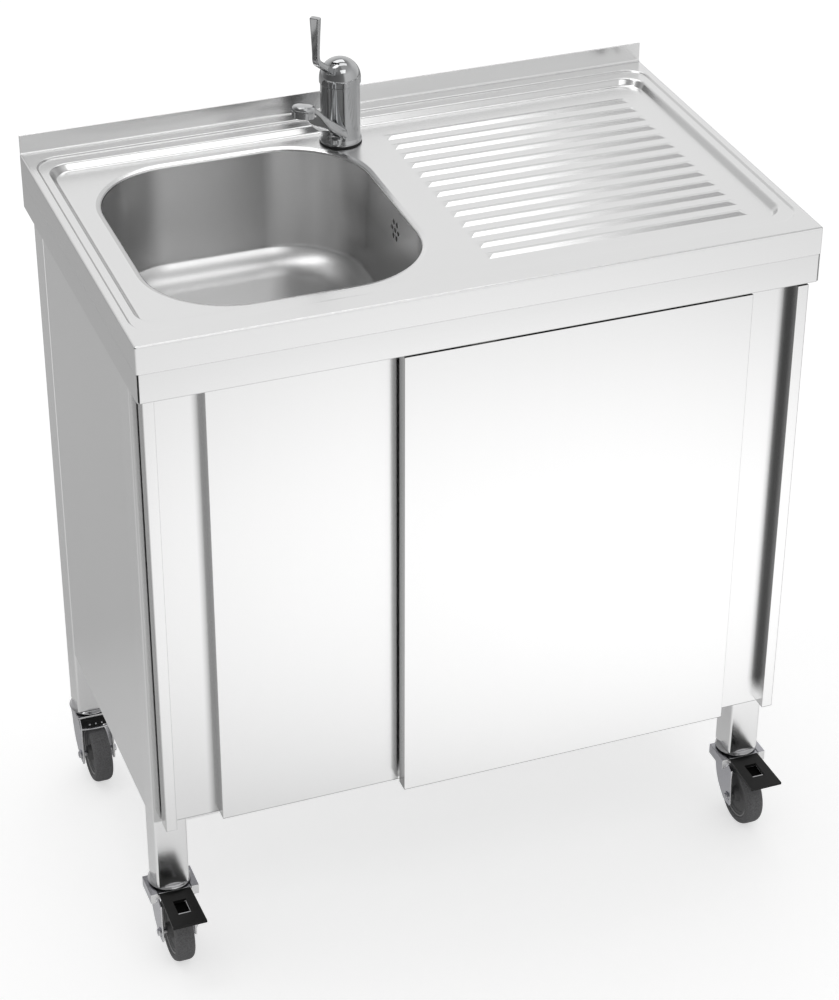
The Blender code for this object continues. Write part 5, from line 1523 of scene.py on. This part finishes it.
# A pool of light and shade painted on the floor, seen only in reflections
POOL, POOL_LEVEL, POOL_FALL, UNDER_FALL = (0.50, -0.85), 0.76, (0.38, 0.40), 0.80
SHADE_LEVEL, SHADE_FROM, SHADE_TO = 0.36, 0.55, 1.35
FLOOR_GREY, FLOOR_GLOW = grey(0.63), 0.58
FAR_GLOW, FAR_FROM, FAR_TO = 0.05, 3.0, 10.0


def ray_kinds(graph):
    """Wires that are 1 for what the camera sees, also through glass, and for what metal mirrors."""
    ray = graph.tree.nodes.new("ShaderNodeLightPath")
    seen = Wire(graph, ray.outputs["Is Camera Ray"]) + Wire(graph, ray.outputs["Is Transmission Ray"])
    return seen, Wire(graph, ray.outputs["Is Glossy Ray"])


def floor_finish():
    """White floor: half of its tone is its own, so shadows stay pale; in what metal mirrors, a painted pool of
    light lies in front and painted shade behind.
    """
    made, graph, shader = principled("studio_floor", Base_Color=(*FLOOR_GREY, 1.0), Roughness=0.9,
                                     Specular_IOR_Level=0.0)
    seen, mirrored = ray_kinds(graph)
    x, y = part_of(graph, "Object", 0) - POOL[0], part_of(graph, "Object", 1) - POOL[1]
    under = larger(graph, y, 0.0)
    pool = POOL_LEVEL - x * x * POOL_FALL[0] - y * y * POOL_FALL[1] - under * under * UNDER_FALL
    fade = graph.add("ShaderNodeMapRange", {"Value": y, "From Min": SHADE_FROM, "From Max": SHADE_TO,
                                            "To Min": SHADE_LEVEL, "To Max": 0.0})
    far = ramp(graph, x * x + y * y, FAR_FROM, FAR_TO) * FAR_GLOW
    strength = seen * (far + FLOOR_GLOW) + mirrored * larger(graph, pool, fade)
    glow = graph.add("ShaderNodeEmission", {"Color": (1.0, 1.0, 1.0, 1.0), "Strength": strength})
    both = graph.add("ShaderNodeAddShader", {0: Wire(graph, shader.outputs[0]), 1: glow})
    graph.tree.links.new(both.socket, graph.tree.nodes["Material Output"].inputs["Surface"])
    return made


floor_mesh.materials.append(floor_finish())
WALLS = [(-180, 0.30), (-155, 0.20), (-90, 0.14), (-60, 0.24), (-28, 0.70), (5, 0.96), (20, 0.93),
         (30, 0.92), (45, 0.92), (70, 0.95), (100, 0.72), (140, 0.92), (168, 0.92), (176, 0.45),
         (180, 0.30)]
CEILING = [(-180, 0.34), (60, 0.34), (110, 0.60), (168, 0.60), (180, 0.34)]
AMBIENT, BACKDROP = 0.52, 0.96


def room():
    """Walls and ceiling as a sky: bright behind and to the right, dark to the left and overhead."""
    world = bpy.data.worlds.new("studio_room")
    bpy.context.scene.world = world
    world.use_nodes = True
    graph = Graph(world.node_tree)
    seen, mirrored = ray_kinds(graph)
    parts = graph.add("ShaderNodeSeparateXYZ", {0: graph.add("ShaderNodeTexCoord", out="Generated")})
    x, y, z = [Wire(graph, socket) for socket in parts.socket.node.outputs]
    turn = graph.add("ShaderNodeMath", {0: x, 1: y}, operation="ARCTAN2") / (2 * math.pi) + 0.5
    sides = []
    for marks in (WALLS, CEILING):
        stops = [(angle / 360 + 0.5, level) for angle, level in marks]
        sides.append(graph.add("ShaderNodeValToRGB", {"Fac": turn}, stops=stops))
    high = ramp(graph, z, 0.50, 0.80)
    shown = sides[0] * (1.0 - high) + sides[1] * high
    strength = seen * BACKDROP + mirrored * shown + (1.0 - seen - mirrored) * AMBIENT
    base = world.node_tree.nodes["Background"]
    base.inputs["Color"].default_value = (1.0, 1.0, 1.0, 1.0)
    graph.tree.links.new(strength.socket, base.inputs["Strength"])


room()
print("floor", FLOOR_SIZE, "m")

# %% [markdown]
# ## Lamps and camera
# Large lamps, hung level, give soft edges. The camera repeats the photograph: a long lens from
# above and a little to the left.


# %% Lamps and camera
def softbox(name, place, width, depth, power):
    """An area lamp hung level at a place."""
    lamp = bpy.data.lights.new(name, "AREA")
    lamp.shape = "RECTANGLE"
    lamp.size = width
    lamp.size_y = depth
    lamp.energy = power
    thing = bpy.data.objects.new(name, lamp)
    thing.location = place
    bpy.context.scene.collection.objects.link(thing)


softbox("lamp_behind", (0.245, 1.70, 3.40), 2.2, 1.2, 14.0)
softbox("lamp_front", (0.28, -2.00, 3.46), 1.6, 1.4, 9.9)
softbox("lamp_above_left", (-1.05, 0.35, 3.46), 1.5, 0.8, 8.0)
softbox("lamp_above_right", (0.65, 0.35, 3.46), 1.9, 0.7, 5.4)

AZIMUTH, ELEVATION, ROLL = 0.355902, 0.561729, 0.000968
CAMERA_AT, LENS_MM, SENSOR_MM, SHIFT = (-1.011, -2.6837, 2.2651), 99.58, 36.0, (0.016, -0.007)
camera = bpy.data.objects.new("camera", bpy.data.cameras.new("camera"))
ahead = Vector((math.sin(AZIMUTH) * math.cos(ELEVATION), math.cos(AZIMUTH) * math.cos(ELEVATION),
                -math.sin(ELEVATION)))
level = Vector((math.cos(AZIMUTH), -math.sin(AZIMUTH), 0.0))
rise = level.cross(ahead)
right = level * math.cos(ROLL) + rise * math.sin(ROLL)
above = rise * math.cos(ROLL) - level * math.sin(ROLL)
axes = Matrix((right, above, -ahead)).transposed()
camera.matrix_world = Matrix.Translation(CAMERA_AT) @ axes.to_4x4()
camera.data.sensor_width = SENSOR_MM
camera.data.lens = LENS_MM
camera.data.shift_x, camera.data.shift_y = SHIFT
bpy.context.scene.collection.objects.link(camera)
bpy.context.scene.camera = camera
bpy.context.scene.view_settings.view_transform = "Standard"
print("lamps: 4, lens:", LENS_MM, "mm")

# %% [markdown]
# ## Finish
# Last, the view layer is updated; the pieces were tied to the model's bodies as they were made.

# %% Finish
bpy.context.view_layer.update()
